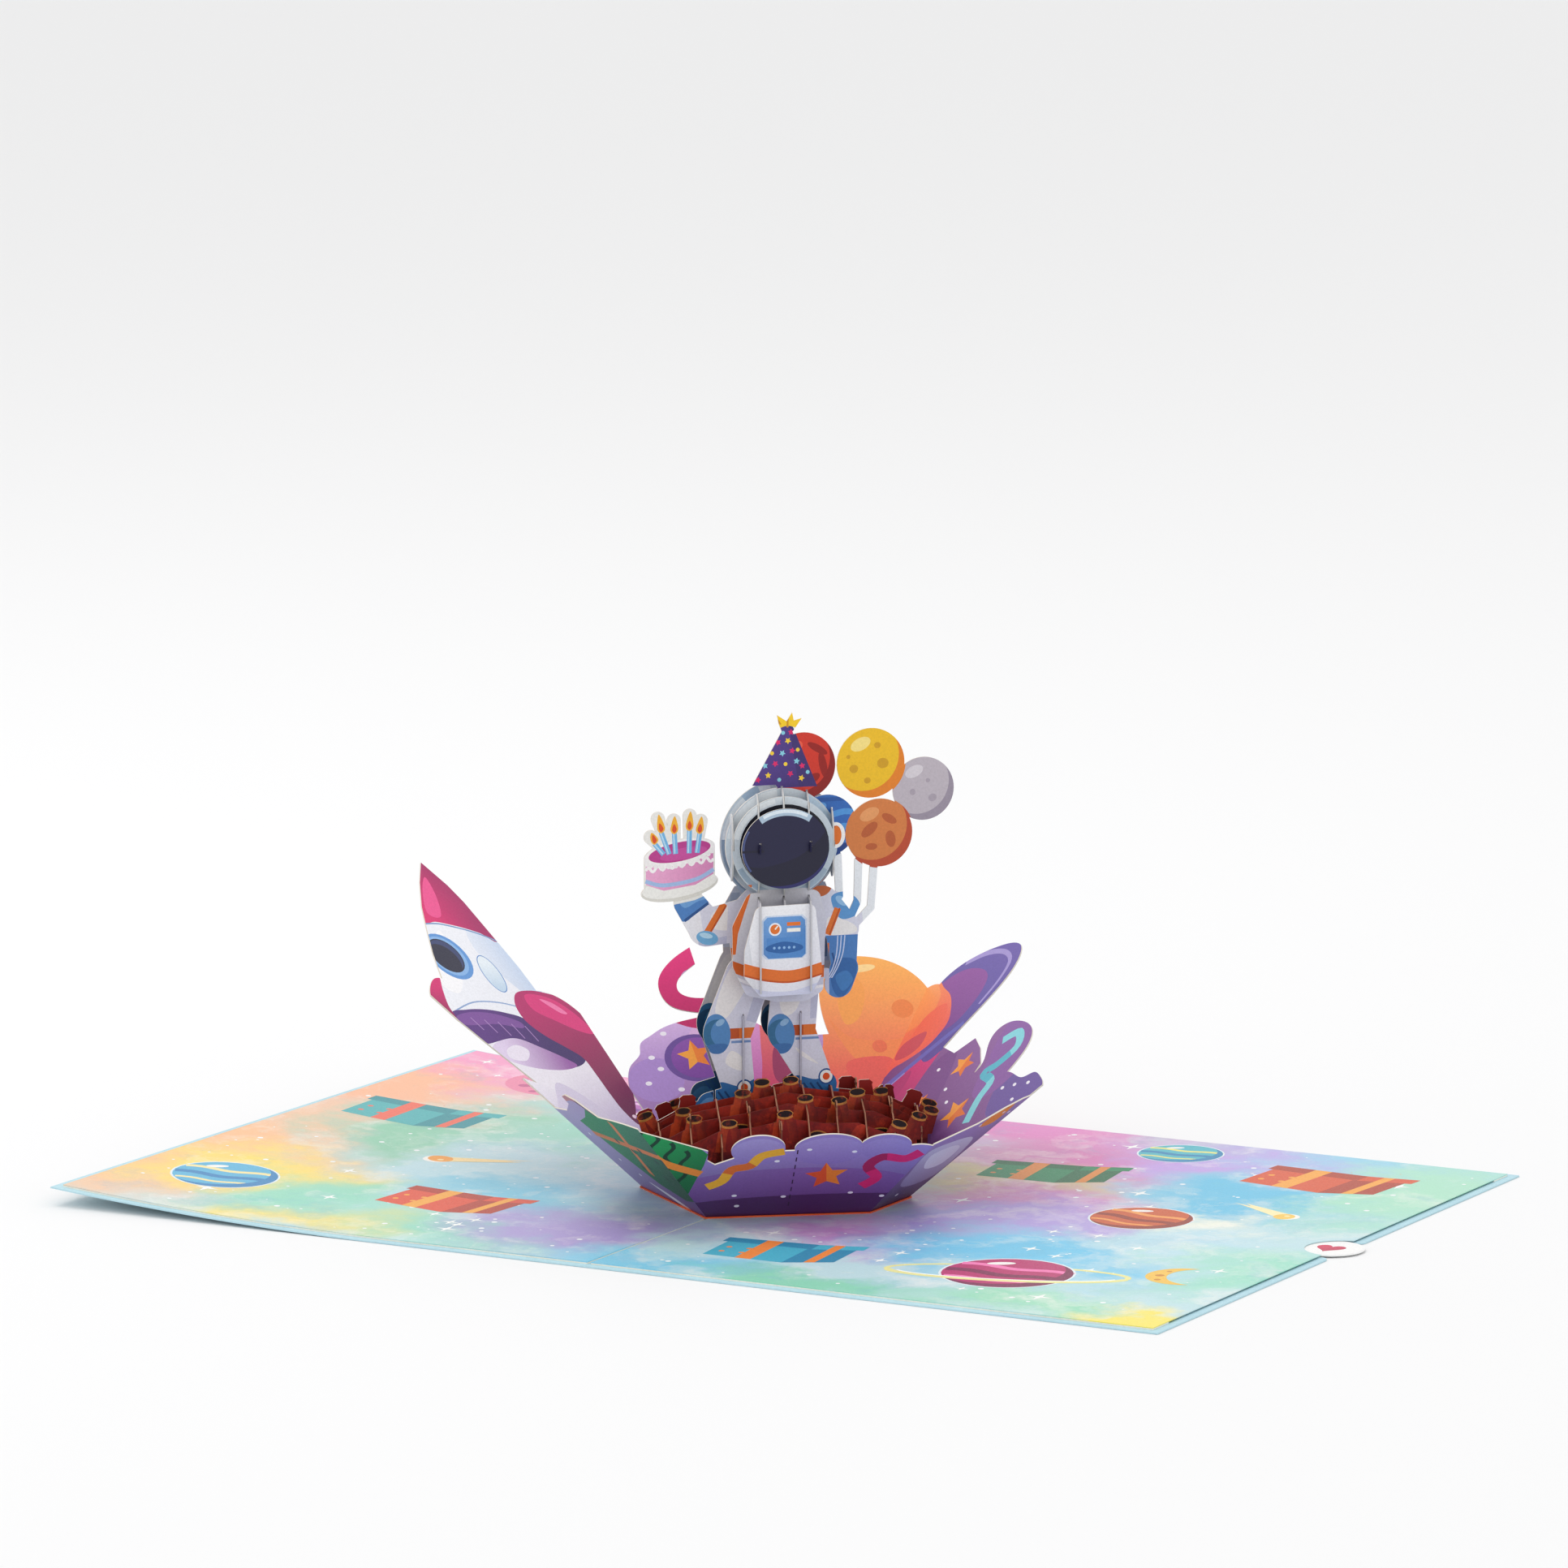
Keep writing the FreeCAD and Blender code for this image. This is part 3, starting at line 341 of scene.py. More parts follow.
def board_material(name, code, edge_tint, rough=0.6, scale=900.0, axis=None, start=0.0, beyond=None):
    """Board with faint cloudiness and fibres; past a distance along the axis it takes a second colour."""
    mat, tree, shader = new_material(name, rough, 0.25)
    point = object_point(tree)
    cloud = add(
        tree,
        "ShaderNodeMapRange",
        {
            "Value": add(
                tree,
                "ShaderNodeTexNoise",
                {"Vector": point, "Scale": 45.0, "Detail": 4.0, "Roughness": 0.5}).outputs["Fac"],
            "From Min": 0.35,
            "From Max": 0.65,
            "To Min": 0.0,
            "To Max": 0.5}).outputs["Result"]
    colour = add(
        tree,
        "ShaderNodeMix",
        {"Factor": cloud, 6: linear(code), 7: linear(edge_tint)},
        data_type="RGBA",
        blend_type="MIX").outputs[2]
    if axis:
        reach = add(tree, "ShaderNodeVectorMath", {0: point, 1: axis}, operation="DOT_PRODUCT").outputs["Value"]
        colour = add(
            tree,
            "ShaderNodeMix",
            {
                "Factor": add(
                    tree,
                    "ShaderNodeMath",
                    {0: reach, 1: start * MM},
                    operation="GREATER_THAN").outputs[0],
                6: colour,
                7: linear(beyond)},
            data_type="RGBA",
            blend_type="MIX").outputs[2]
    colour = grain(tree, point, colour, 0.95, 1.04, scale)
    tree.links.new(colour, shader.inputs["Base Color"])
    tree.links.new(
        add(
            tree,
            "ShaderNodeBump",
            {
                "Height": add(
                    tree,
                    "ShaderNodeTexNoise",
                    {"Vector": point, "Scale": scale * 1.6, "Detail": 3.0, "Roughness": 0.5}).outputs["Fac"],
                "Strength": 0.3,
                "Distance": 0.00005}).outputs["Normal"],
        shader.inputs["Normal"])
    return mat


# %% [markdown]
# Liner wash: soft fields of colour that run into each other like wet watercolour. Each field has a middle,
# a width across X and Y, and a colour; a slow noise bends the distances so that the edges wander.

# %% Liner wash
WASH = [
    (-150, -40, 52, 90, "#F8BE8A"), (-150, 60, 60, 60, "#F7B68E"), (-150, 96, 70, 30, "#F096BC"),
    (-100, 92, 60, 34, "#EE9CC4"), (-118, -52, 38, 30, "#FCDD62"), (-78, -92, 36, 20, "#FADE66"),
    (-110, 14, 30, 40, "#8CCBAA"), (-96, -66, 30, 30, "#93D8BE"), (-70, 40, 40, 40, "#97D3BC"),
    (-46, -88, 44, 26, "#8ED4BE"), (-56, -40, 36, 26, "#7CC8DE"), (-24, -66, 36, 40, "#A994D0"),
    (-30, 60, 44, 50, "#B48CD6"), (12, -92, 44, 20, "#7CC9E6"), (20, 96, 60, 30, "#DF7FC0"),
    (46, 62, 44, 40, "#D977B4"), (44, 30, 30, 26, "#D6D080"), (56, 10, 40, 30, "#D583BE"),
    (42, -40, 36, 26, "#C98CCB"), (66, -8, 34, 30, "#B19ADC"), (84, 80, 40, 34, "#C19CE0"),
    (112, 92, 40, 26, "#94CFE6"), (108, 40, 44, 34, "#5FBEE0"), (84, -42, 46, 26, "#62C2E6"),
    (120, -10, 30, 22, "#BBDDE8"), (60, -92, 40, 16, "#8AD6B4"), (112, -82, 30, 26, "#93D9B6"),
    (140, -34, 24, 34, "#9ADCC4"), (140, 60, 34, 50, "#A9DFC2"), (140, -88, 22, 16, "#F6E354"),
    (100, 16, 26, 14, "#EDF0DF"),
]


def wash_material(name):
    mat, tree, shader = new_material(name, 0.4, 0.4)
    point = object_point(tree)
    warp = add(tree, "ShaderNodeTexNoise", {"Vector": point, "Scale": 26.0, "Detail": 5.0,
                                            "Roughness": 0.62}).outputs["Color"]
    bent = add(tree, "ShaderNodeVectorMath", {0: warp, 1: (0.5, 0.5, 0.5)}, operation="SUBTRACT")
    bent = add(tree, "ShaderNodeVectorMath", {0: bent.outputs[0], "Scale": 0.085}, operation="SCALE")
    bent = add(tree, "ShaderNodeVectorMath", {0: point, 1: bent.outputs[0]}, operation="ADD").outputs[0]
    colour = linear("#BFDDE2")
    for x, y, wide, tall, code in WASH:
        place = add(tree, "ShaderNodeMapping", {"Vector": bent, "Location": (-x / wide, -y / tall, 0),
                                                "Scale": (1 / (wide * MM), 1 / (tall * MM), 0)})
        reach = add(tree, "ShaderNodeVectorMath", {0: place.outputs[0]}, operation="LENGTH").outputs["Value"]
        weight = add(tree, "ShaderNodeMapRange", {"Value": reach, "From Min": 1.15, "From Max": 0.25,
                                                  "To Min": 0.0, "To Max": 0.97},
                     interpolation_type="SMOOTHSTEP").outputs["Result"]
        colour = add(
            tree,
            "ShaderNodeMix",
            {"Factor": weight, 6: colour, 7: linear(code)},
            data_type="RGBA",
            blend_type="MIX").outputs[2]
    bloom = add(
        tree,
        "ShaderNodeMapRange",
        {
            "Value": add(
                tree,
                "ShaderNodeTexNoise",
                {"Vector": bent, "Scale": 48.0, "Detail": 6.0, "Roughness": 0.6}).outputs["Fac"],
            "From Min": 0.5,
            "From Max": 0.72,
            "To Min": 0.0,
            "To Max": 0.5}).outputs["Result"]
    colour = add(
        tree,
        "ShaderNodeMix",
        {"Factor": bloom, 6: colour, 7: linear("#F6F3EC")},
        data_type="RGBA",
        blend_type="MIX").outputs[2]
    pool = add(
        tree,
        "ShaderNodeMapRange",
        {
            "Value": add(
                tree,
                "ShaderNodeTexNoise",
                {"Vector": bent, "Scale": 30.0, "Detail": 6.0, "Roughness": 0.6}).outputs["Fac"],
            "From Min": 0.54,
            "From Max": 0.66,
            "To Min": 0.0,
            "To Max": 0.22}).outputs["Result"]
    colour = add(
        tree,
        "ShaderNodeMix",
        {"Factor": pool, 6: colour, 7: linear("#5DA9C4")},
        data_type="RGBA",
        blend_type="MIX").outputs[2]
    colour = grain(tree, point, colour, 0.96, 1.03)
    tree.links.new(colour, shader.inputs["Base Color"])
    fibre = add(
        tree,
        "ShaderNodeTexNoise",
        {"Vector": point, "Scale": 2400.0, "Detail": 3.0, "Roughness": 0.6}).outputs["Fac"]
    tree.links.new(
        add(
            tree,
            "ShaderNodeMapRange",
            {"Value": fibre, "From Min": 0.3, "From Max": 0.7, "To Min": 0.34, "To Max": 0.46}).outputs["Result"],
        shader.inputs["Roughness"])
    tree.links.new(
        add(tree, "ShaderNodeBump", {"Height": fibre, "Strength": 0.2, "Distance": 0.00004}).outputs["Normal"],
        shader.inputs["Normal"])
    return mat


# %% [markdown]
# Each finish is one material: ink on card, ink on the mound, cut edges, cover board, slip paper, tape.
# The ends of the helmet's ribs are dark navy where they come through the dark visor: painted shade in the visor's
# slots.

# %% The card's own finishes
INK = print_material("ink_on_card")
ROCK_INK = print_material("ink_on_mound_card", 0.6, 0.86, 1.1, 0.5)
TOWARD_VIEW = (math.sqrt(0.5), -math.sqrt(0.5), 0.0)
CUT_EDGE = board_material("cut_card_edge", "#E4DCD0", "#CFC3B2", 0.7, 1500.0)
SUIT_EDGE = board_material("cut_suit_edge", "#C9C8CC", "#B4B2B6", 0.7, 1500.0)
# Past 8.95 mm toward the view the rib edges turn dark navy: painted shade in the visor's slots.
HEAD_EDGE = board_material("cut_helmet_edge", "#D3D2D0", "#B9B8B8", 0.7, 1500.0, TOWARD_VIEW, 8.95, "#1C1A3C")
ROCK_EDGE = board_material("cut_mound_edge", "#6A1C10", "#3F0D08", 0.7, 1500.0)
ROCK_RIB_EDGE = board_material("cut_mound_rib_edge", "#A4745A", "#7A4030", 0.7, 1500.0, (0, 0, 1), 27.0,
                               "#BDBCCB")
COVER_BLUE = board_material("cover_blue_board", "#B9DCE6", "#A9D0DD", 0.5)
SLIP_WHITE = board_material("slip_white_paper", "#F1F1EF", "#E8ECEF", 0.5)
TAPE_WHITE = board_material("adhesive_tape", "#F2EFE4", "#E4DFCF", 0.45)
FLOOR_ORANGE = board_material("floor_orange_card", "#DE5A26", "#C23A1B", 0.45)
WASH_INK = wash_material("watercolour_liner")
print("wash fields:", len(WASH))


# %% [markdown]
# Printing. A sheet's outline is read from its solid's flat face, the drawn fields are laid over it, and the
# overlaps are worked out exactly, so that the ink ends where the card is cut. Ink lies 0.01 mm proud.

# %% Printing onto a sheet
INK_LIFT = 0.012


def face_loops(node, plane, side):
    """Boundary loops of a node's flat face on one side of its plane, and that face's height."""
    mesh = nodes[node].data
    open_edges = {}
    height = 0.0
    for polygon in mesh.polygons:
        if polygon.normal.dot(plane.out) * side < 0.999:
            continue
        points = []
        for i in polygon.vertices:
            flat, height = plane.flat(mesh.vertices[i].co)
            points.append(flat)
        for a, b in zip(points, points[1:] + points[:1]):
            if a == b:
                continue
            if (b, a) in open_edges:
                del open_edges[(b, a)]
            else:
                open_edges[(a, b)] = True
    onward = {}
    for a, b in open_edges:
        onward.setdefault(a, []).append(b)
    loops = []
    while onward:
        start = next(iter(onward))
        loop = [start]
        at = start
        while True:
            ahead = onward[at].pop()
            if not onward[at]:
                del onward[at]
            if ahead == start or ahead not in onward:
                break
            loop.append(ahead)
            at = ahead
        if len(loop) > 2:
            loops.append(loop)
    return loops, height


def area(ring):
    return sum(a[0] * b[1] - b[0] * a[1] for a, b in zip(ring, ring[1:] + ring[:1])) / 2


def arrange(loops, shapes):
    """Triangles of the drawn fields inside the loops, each with the number of its topmost field."""
    points, faces = [], []
    for ring in list(loops) + [shape[0] for shape in shapes]:
        ring = list(ring) if area(list(ring)) > 0 else list(ring)[::-1]
        faces.append(list(range(len(points), len(points) + len(ring))))
        points += [Vector(p) for p in ring]
    verts, _, tris, _, _, owners = delaunay_2d_cdt(points, [], faces, 1, 1e-5, True)
    kept = []
    for tri, owner in zip(tris, owners):
        if not owner or (loops and sum(1 for o in owner if o < len(loops)) % 2 == 0):
            continue
        top = max(owner) - len(loops)
        kept.append((tri, top))
    return verts, kept


def ink_at(paint, x, y):
    if isinstance(paint, str):
        return linear(paint)
    first, last, (x0, y0), (x1, y1) = paint
    run = ((x - x0) * (x1 - x0) + (y - y0) * (y1 - y0)) / ((x1 - x0) ** 2 + (y1 - y0) ** 2)
    t = min(1.0, max(0.0, run))
    return tuple(a + (b - a) * t for a, b in zip(linear(first), linear(last)))


def print_piece(name, body, sheets, material):
    """One printed layer made of several sheets: (place, loops, shapes, base paint, flipped)."""
    mesh = bpy.data.meshes.new(name)
    verts, faces, inks = [], [], []
    for place, loops, shapes, base, flipped in sheets:
        points, kept = arrange(loops, shapes)
        index = {}
        for tri, top in kept:
            if top < 0 and base is None:
                continue
            paint = shapes[top][1] if top >= 0 else base
            order = tri[::-1] if flipped else tri
            for i in order:
                if i not in index:
                    index[i] = len(verts)
                    verts.append(place(points[i].x, points[i].y))
                inks.append(ink_at(paint, points[i].x, points[i].y))
            faces.append([index[i] for i in order])
    mesh.from_pydata(verts, [], faces)
    layer = mesh.color_attributes.new("ink", "FLOAT_COLOR", "CORNER")
    for i, ink in enumerate(inks):
        layer.data[i].color = ink
    mesh.materials.append(material)
    piece = bpy.data.objects.new(name, mesh)
    scene.collection.objects.link(piece)
    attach(piece, body)
    print("printed", name, "with", len(faces), "triangles")
    return piece


def both_sides(node, plane, shapes, base):
    """Sheets for the front and back print of a flat node, drawn alike as on a real die-cut card."""
    sheets = []
    for side in (1, -1):
        loops, height = face_loops(node, plane, side)
        if not loops:
            continue
        off = height + side * INK_LIFT
        place = lambda x, y, p=plane, o=off: p.lift(x, y, o)
        sheets.append((place, loops, shapes, base, side < 0))
    return sheets


# %% [markdown]
# The figure: a suit in soft whites with orange straps and blue pads, a party hat, a cake and balloons.

# %% Figure prints
SUIT, SUIT_LIGHT, SHADE = "#D9D9E8", "#EFECEB", "#C2C4DB"
ORANGE, ORANGE_DEEP = "#E27226", "#BF4F14"
BLUE, BLUE_DEEP, BLUE_PALE = "#4A7FC0", "#234F8C", "#93BEE4"
HELMET = 85.6


# %% [markdown]
# The legs are flat print: a suit, knee pads, a strap and a boot. A broad tapering band follows hip, knee and
# ankle, because a band bends with the leg and needs only a few points.

# %% Legs
def leg(hip_x, knee_x, ankle_x, heel_x, toe_x, lift, painted_shade):
    # The flag picks darker copies of every ink: painted shade for the legs of the slice behind.
    suit, light, shade = ("#B2AFB2", "#BDB9B8", "#9698A4") if painted_shade else (SUIT, SUIT_LIGHT, SHADE)
    pad, pad_side, pad_low = ("#1D5578", "#123A58", "#0F3350") if painted_shade else ("#5289C2", "#2F6C96", "#3D70AC")
    shoe, sole_ink = ("#1B4569", "#3F6E93") if painted_shade else ("#2C69A6", "#A9C9E4")
    ankle, sole = 27 + lift * 0.4, 22.2
    pad_x, pad_y = knee_x - 2.7, 39.4 - lift * 0.5
    return [
        (band([(hip_x, 58), (hip_x, 53), (knee_x, 39.6), (ankle_x, ankle), (ankle_x, ankle - 3)], 15, 0.85), suit),
        (soft([(hip_x - 4, 56), (hip_x + 1, 54), (knee_x + 2, 46), (knee_x - 1, 43), (knee_x - 3, 46)]), light),
        (soft([(knee_x + 1, 35), (knee_x + 4, 33), (ankle_x + 1, ankle + 3), (ankle_x - 3, ankle + 5)]), light),
        (band([(hip_x + 5.4, 56), (knee_x + 6, 42)], 2.6), shade),
        (box(knee_x - 5, 38, knee_x + 8, 40.6), ORANGE_DEEP if painted_shade else ORANGE),
        (box(knee_x - 5, 38, knee_x + 3, 40.6), "#8E3A12" if painted_shade else ORANGE_DEEP),
        (band([(knee_x + 1, 37.2), (knee_x + 7, 37.2)], 0.6), "#6F8FC0"),
        (oval(pad_x, pad_y, 7, 10, 6), pad),
        (crescent(pad_x, pad_y, 3.6, 2.1, 0.2), pad_side),
        (soft([(pad_x - 2.6, pad_y - 3), (pad_x, pad_y - 2.4), (pad_x + 2.7, pad_y - 2.8), (pad_x + 1.6, pad_y - 4.6),
               (pad_x - 1, pad_y - 4.8)]), pad_low),
        (oval(pad_x + 0.9, pad_y + 2.8, 2.4, 1.5, 30), "#8FB7DC" if not painted_shade else "#2D6288"),
        (soft([(ankle_x - 4.6, ankle + 0.4), (ankle_x + 0.4, ankle - 0.8), (ankle_x + 4.6, ankle + 0.8),
               (heel_x + 3.8, sole + 3 + lift), (heel_x + 2.8, sole - 1.6 + lift), (toe_x, sole - 3.6 + lift * 0.4),
               (toe_x - 3.6, sole - 1 + lift * 0.4), (toe_x - 1.4, sole + 2.6 + lift * 0.4)]), shoe),
        (soft([(toe_x - 2.6, sole - 0.6 + lift * 0.4), (toe_x, sole - 1.6 + lift * 0.4), (toe_x + 3,
         sole - 0.6 + lift * 0.5),
               (toe_x + 2, sole + 1.2 + lift * 0.4), (toe_x - 0.6, sole + 1.4 + lift * 0.4)]),
         "#5B93CB" if not painted_shade else "#2A5A80"),
        (band(curve([(toe_x - 3, sole - 2.4 + lift * 0.4), ((toe_x + heel_x) / 2, sole - 2.5 + lift * 0.7),
                     (heel_x + 3, sole - 0.9 + lift)]), 0.9), sole_ink),
        (disc(heel_x + 0.6, sole + 3.6 + lift, 2.0), BLUE_DEEP), (disc(heel_x + 0.6, sole + 3.6 + lift, 1.6),
         "#F2F0EE"),
        (disc(heel_x + 0.6, sole + 3.6 + lift, 0.9), "#E2531C"),
    ] + [(band([(toe_x + 0.6 + 1.7 * i, sole + 2.9 + lift * 0.6), (toe_x + 2 + 1.7 * i,
     sole + 0.9 + lift * 0.6)], 0.5),
          "#153F70") for i in range(3)]


def legs(dx, dy, painted_shade=False):
    shapes = []
    for hip_x, knee_x, ankle_x, heel_x, toe_x, lift in ((3.6, 2.4, 8.2, 10.6, 4.8, 1.6),
                                                       (-8.6, -13.9, -11.3, -10.2, -18.6, 0.0)):
        for ring, paint in leg(hip_x, knee_x, ankle_x, heel_x, toe_x, lift, painted_shade):
            shapes.append(([(x + dx, y + dy) for x, y in ring], paint))
    return shapes


# %% [markdown]
# Each balloon is one round of printed card. A disc, a shade at the lower right and a light spot at the upper
# left make it look round without any relief, as the print does on the real card.

# %% Balloons
def balloon(x, y, r, light, main, dark, spots, spot):
    shapes = [(disc(x, y, r + 0.3), main)]
    for dx, dy, wide, tall, tilt in spots:
        shapes.append((oval(x + dx * r, y + dy * r, wide * r, tall * r, tilt, 20), spot))
    return shapes + [(crescent(x, y, r + 0.3, -0.2 * r, 0.24 * r), dark),
                     (oval(x - 0.3 * r, y + 0.55 * r, 0.62 * r, 0.36 * r, 24), light)]


# %% [markdown]
# The hat is a printed cone with confetti. Small stars and dots in three inks are placed in rows.

# %% Hat
def hat():
    shapes = [([(-9, 99.4), (9, 99.4), (2.6, 115), (0.4, 115)], ("#533A8A", "#3F2B70", (-6, 108), (8, 102))),
              ([(4.4, 99.4), (9, 99.4), (2.6, 115), (1.8, 115)], "#3C2A6C")]
    confetti = [(-6, 101.6, 0), (-3.4, 102.6, 1), (-0.6, 101.4, 2), (2.2, 102.8, 0), (5, 101.6, 1), (6.6, 103, 2),
                (-4.2, 105, 2), (-1.6, 105.4, 0), (1, 105.2, 1), (3.8, 105.8, 2), (5.2, 104.6, 0),
                (-2.4, 108, 1), (0.2, 107.9, 2), (2.7, 108.4, 0), (4.1, 108.6, 1), (-0.9, 110.6, 0), (1.6, 110.9, 1),
                (0.4, 112.9, 2), (2.4, 113, 0)]
    inks = ("#DC1F66", "#F3CB34", "#86CBDD")
    for i, (x, y, k) in enumerate(confetti):
        shapes.append((disc(x, y, 0.5, 10) if i % 3 == 2 else star(x, y, 0.85, 5, 0.5, 17 * i), inks[k]))
    shapes.append((soft([(-2.4, 113.9), (1.5, 114.6), (5.4, 113.9), (7, 118), (1.5, 119.6), (-3.4, 118)]),
                   "#F5C91E"))
    shapes += [(band([(1.5, 114.2), (1.6, 117.2)], 0.5), "#CB8F0E"), (band([(-0.2, 115), (-1.6, 117)], 0.4),
     "#CB8F0E")]
    return shapes


# %% [markdown]
# The cake is part of the same slice as the arms. Ovals give its top and plate, and a pale margin of bare
# print runs round the candles, as die cutting leaves one.

# %% Cake
def cake():
    x, y = -25.8, 76.2
    margin = "#ECE9E4"
    shapes = [([(-45, 70.2), (-34, 70.8), (-22, 72.8), (-14, 76), (-14, 100), (-45, 100)], margin),
              (oval(x, y - 0.4, 19.4, 6, 9), "#DBD8D0"), (oval(x, y + 0.3, 19, 5.4, 9), "#F1EFEA"),
              ([(x - 8.5, y + 0.9), (x - 4, y - 0.7), (x + 4, y + 0.4), (x + 8.5, y + 2.9), (x + 8.5, y + 9.4),
                (x - 8.5, y + 7)], ("#EAA6CD", "#D988B9", (x - 6, y), (x + 8, y))),
              (band(curve([(x - 8.6, y + 1.8), (x - 4, y + 0.6), (x + 4, y + 1.7), (x + 8.6, y + 4)]), 1.0),
               "#A3BDE4"),
              (wave(x - 8.5, x + 8.5, y + 4.4, 0.6, 7, 0.7, 0.13), "#F8F3F3"),
              (oval(x, y + 8.5, 17.8, 6.2, 9), "#F6F2F1"), (oval(x, y + 8.7, 15.8, 4.7, 9), "#BC3A8C"),
              (oval(x + 1, y + 8.2, 12, 2.8, 9), "#C74C9B")]
    shapes += [(disc(x + 8.9 * math.cos(a), y + 8.5 + 3.1 * math.sin(a) + 1.38 * math.cos(a), 0.62, 10), "#F3EEEE")
               for a in [math.radians(180 + 12 * i) for i in range(16)]]
    for foot, tip, high in ((-4, -7.2, 12.6), (-2.6, -5.4, 17), (-1, -1.4, 16.4), (2.4, 2.6, 17.4),
                            (4.4, 5.4, 16)):
        end_x, end_y = x + foot + (tip - foot) * 0.72, y + 8.4 + (high - 8.4) * 0.62
        shapes += [(band([(x + foot, y + 8.2), (end_x, end_y)], 1.25), "#74B4E2"),
                   (band([(x + foot - 0.2, y + 8.3), (end_x - 0.2, end_y)], 0.4), "#B9DBF2"),
                   (soft([(end_x - 1, end_y + 0.9), (end_x, end_y - 0.3), (end_x + 1, end_y + 1),
                          (x + tip + 0.2, y + high + 1.1)]), "#F2B02E"),
                   (soft([(end_x - 0.55, end_y + 0.8), (end_x, end_y), (end_x + 0.6, end_y + 0.9),
                          (end_x + (x + tip - end_x) * 0.5, end_y + 2.2)]), "#DD4F1E")]
    return shapes


# %% [markdown]
# One long slice carries hat, arms, cake, balloons and leading legs. Its fields are laid lowest first.

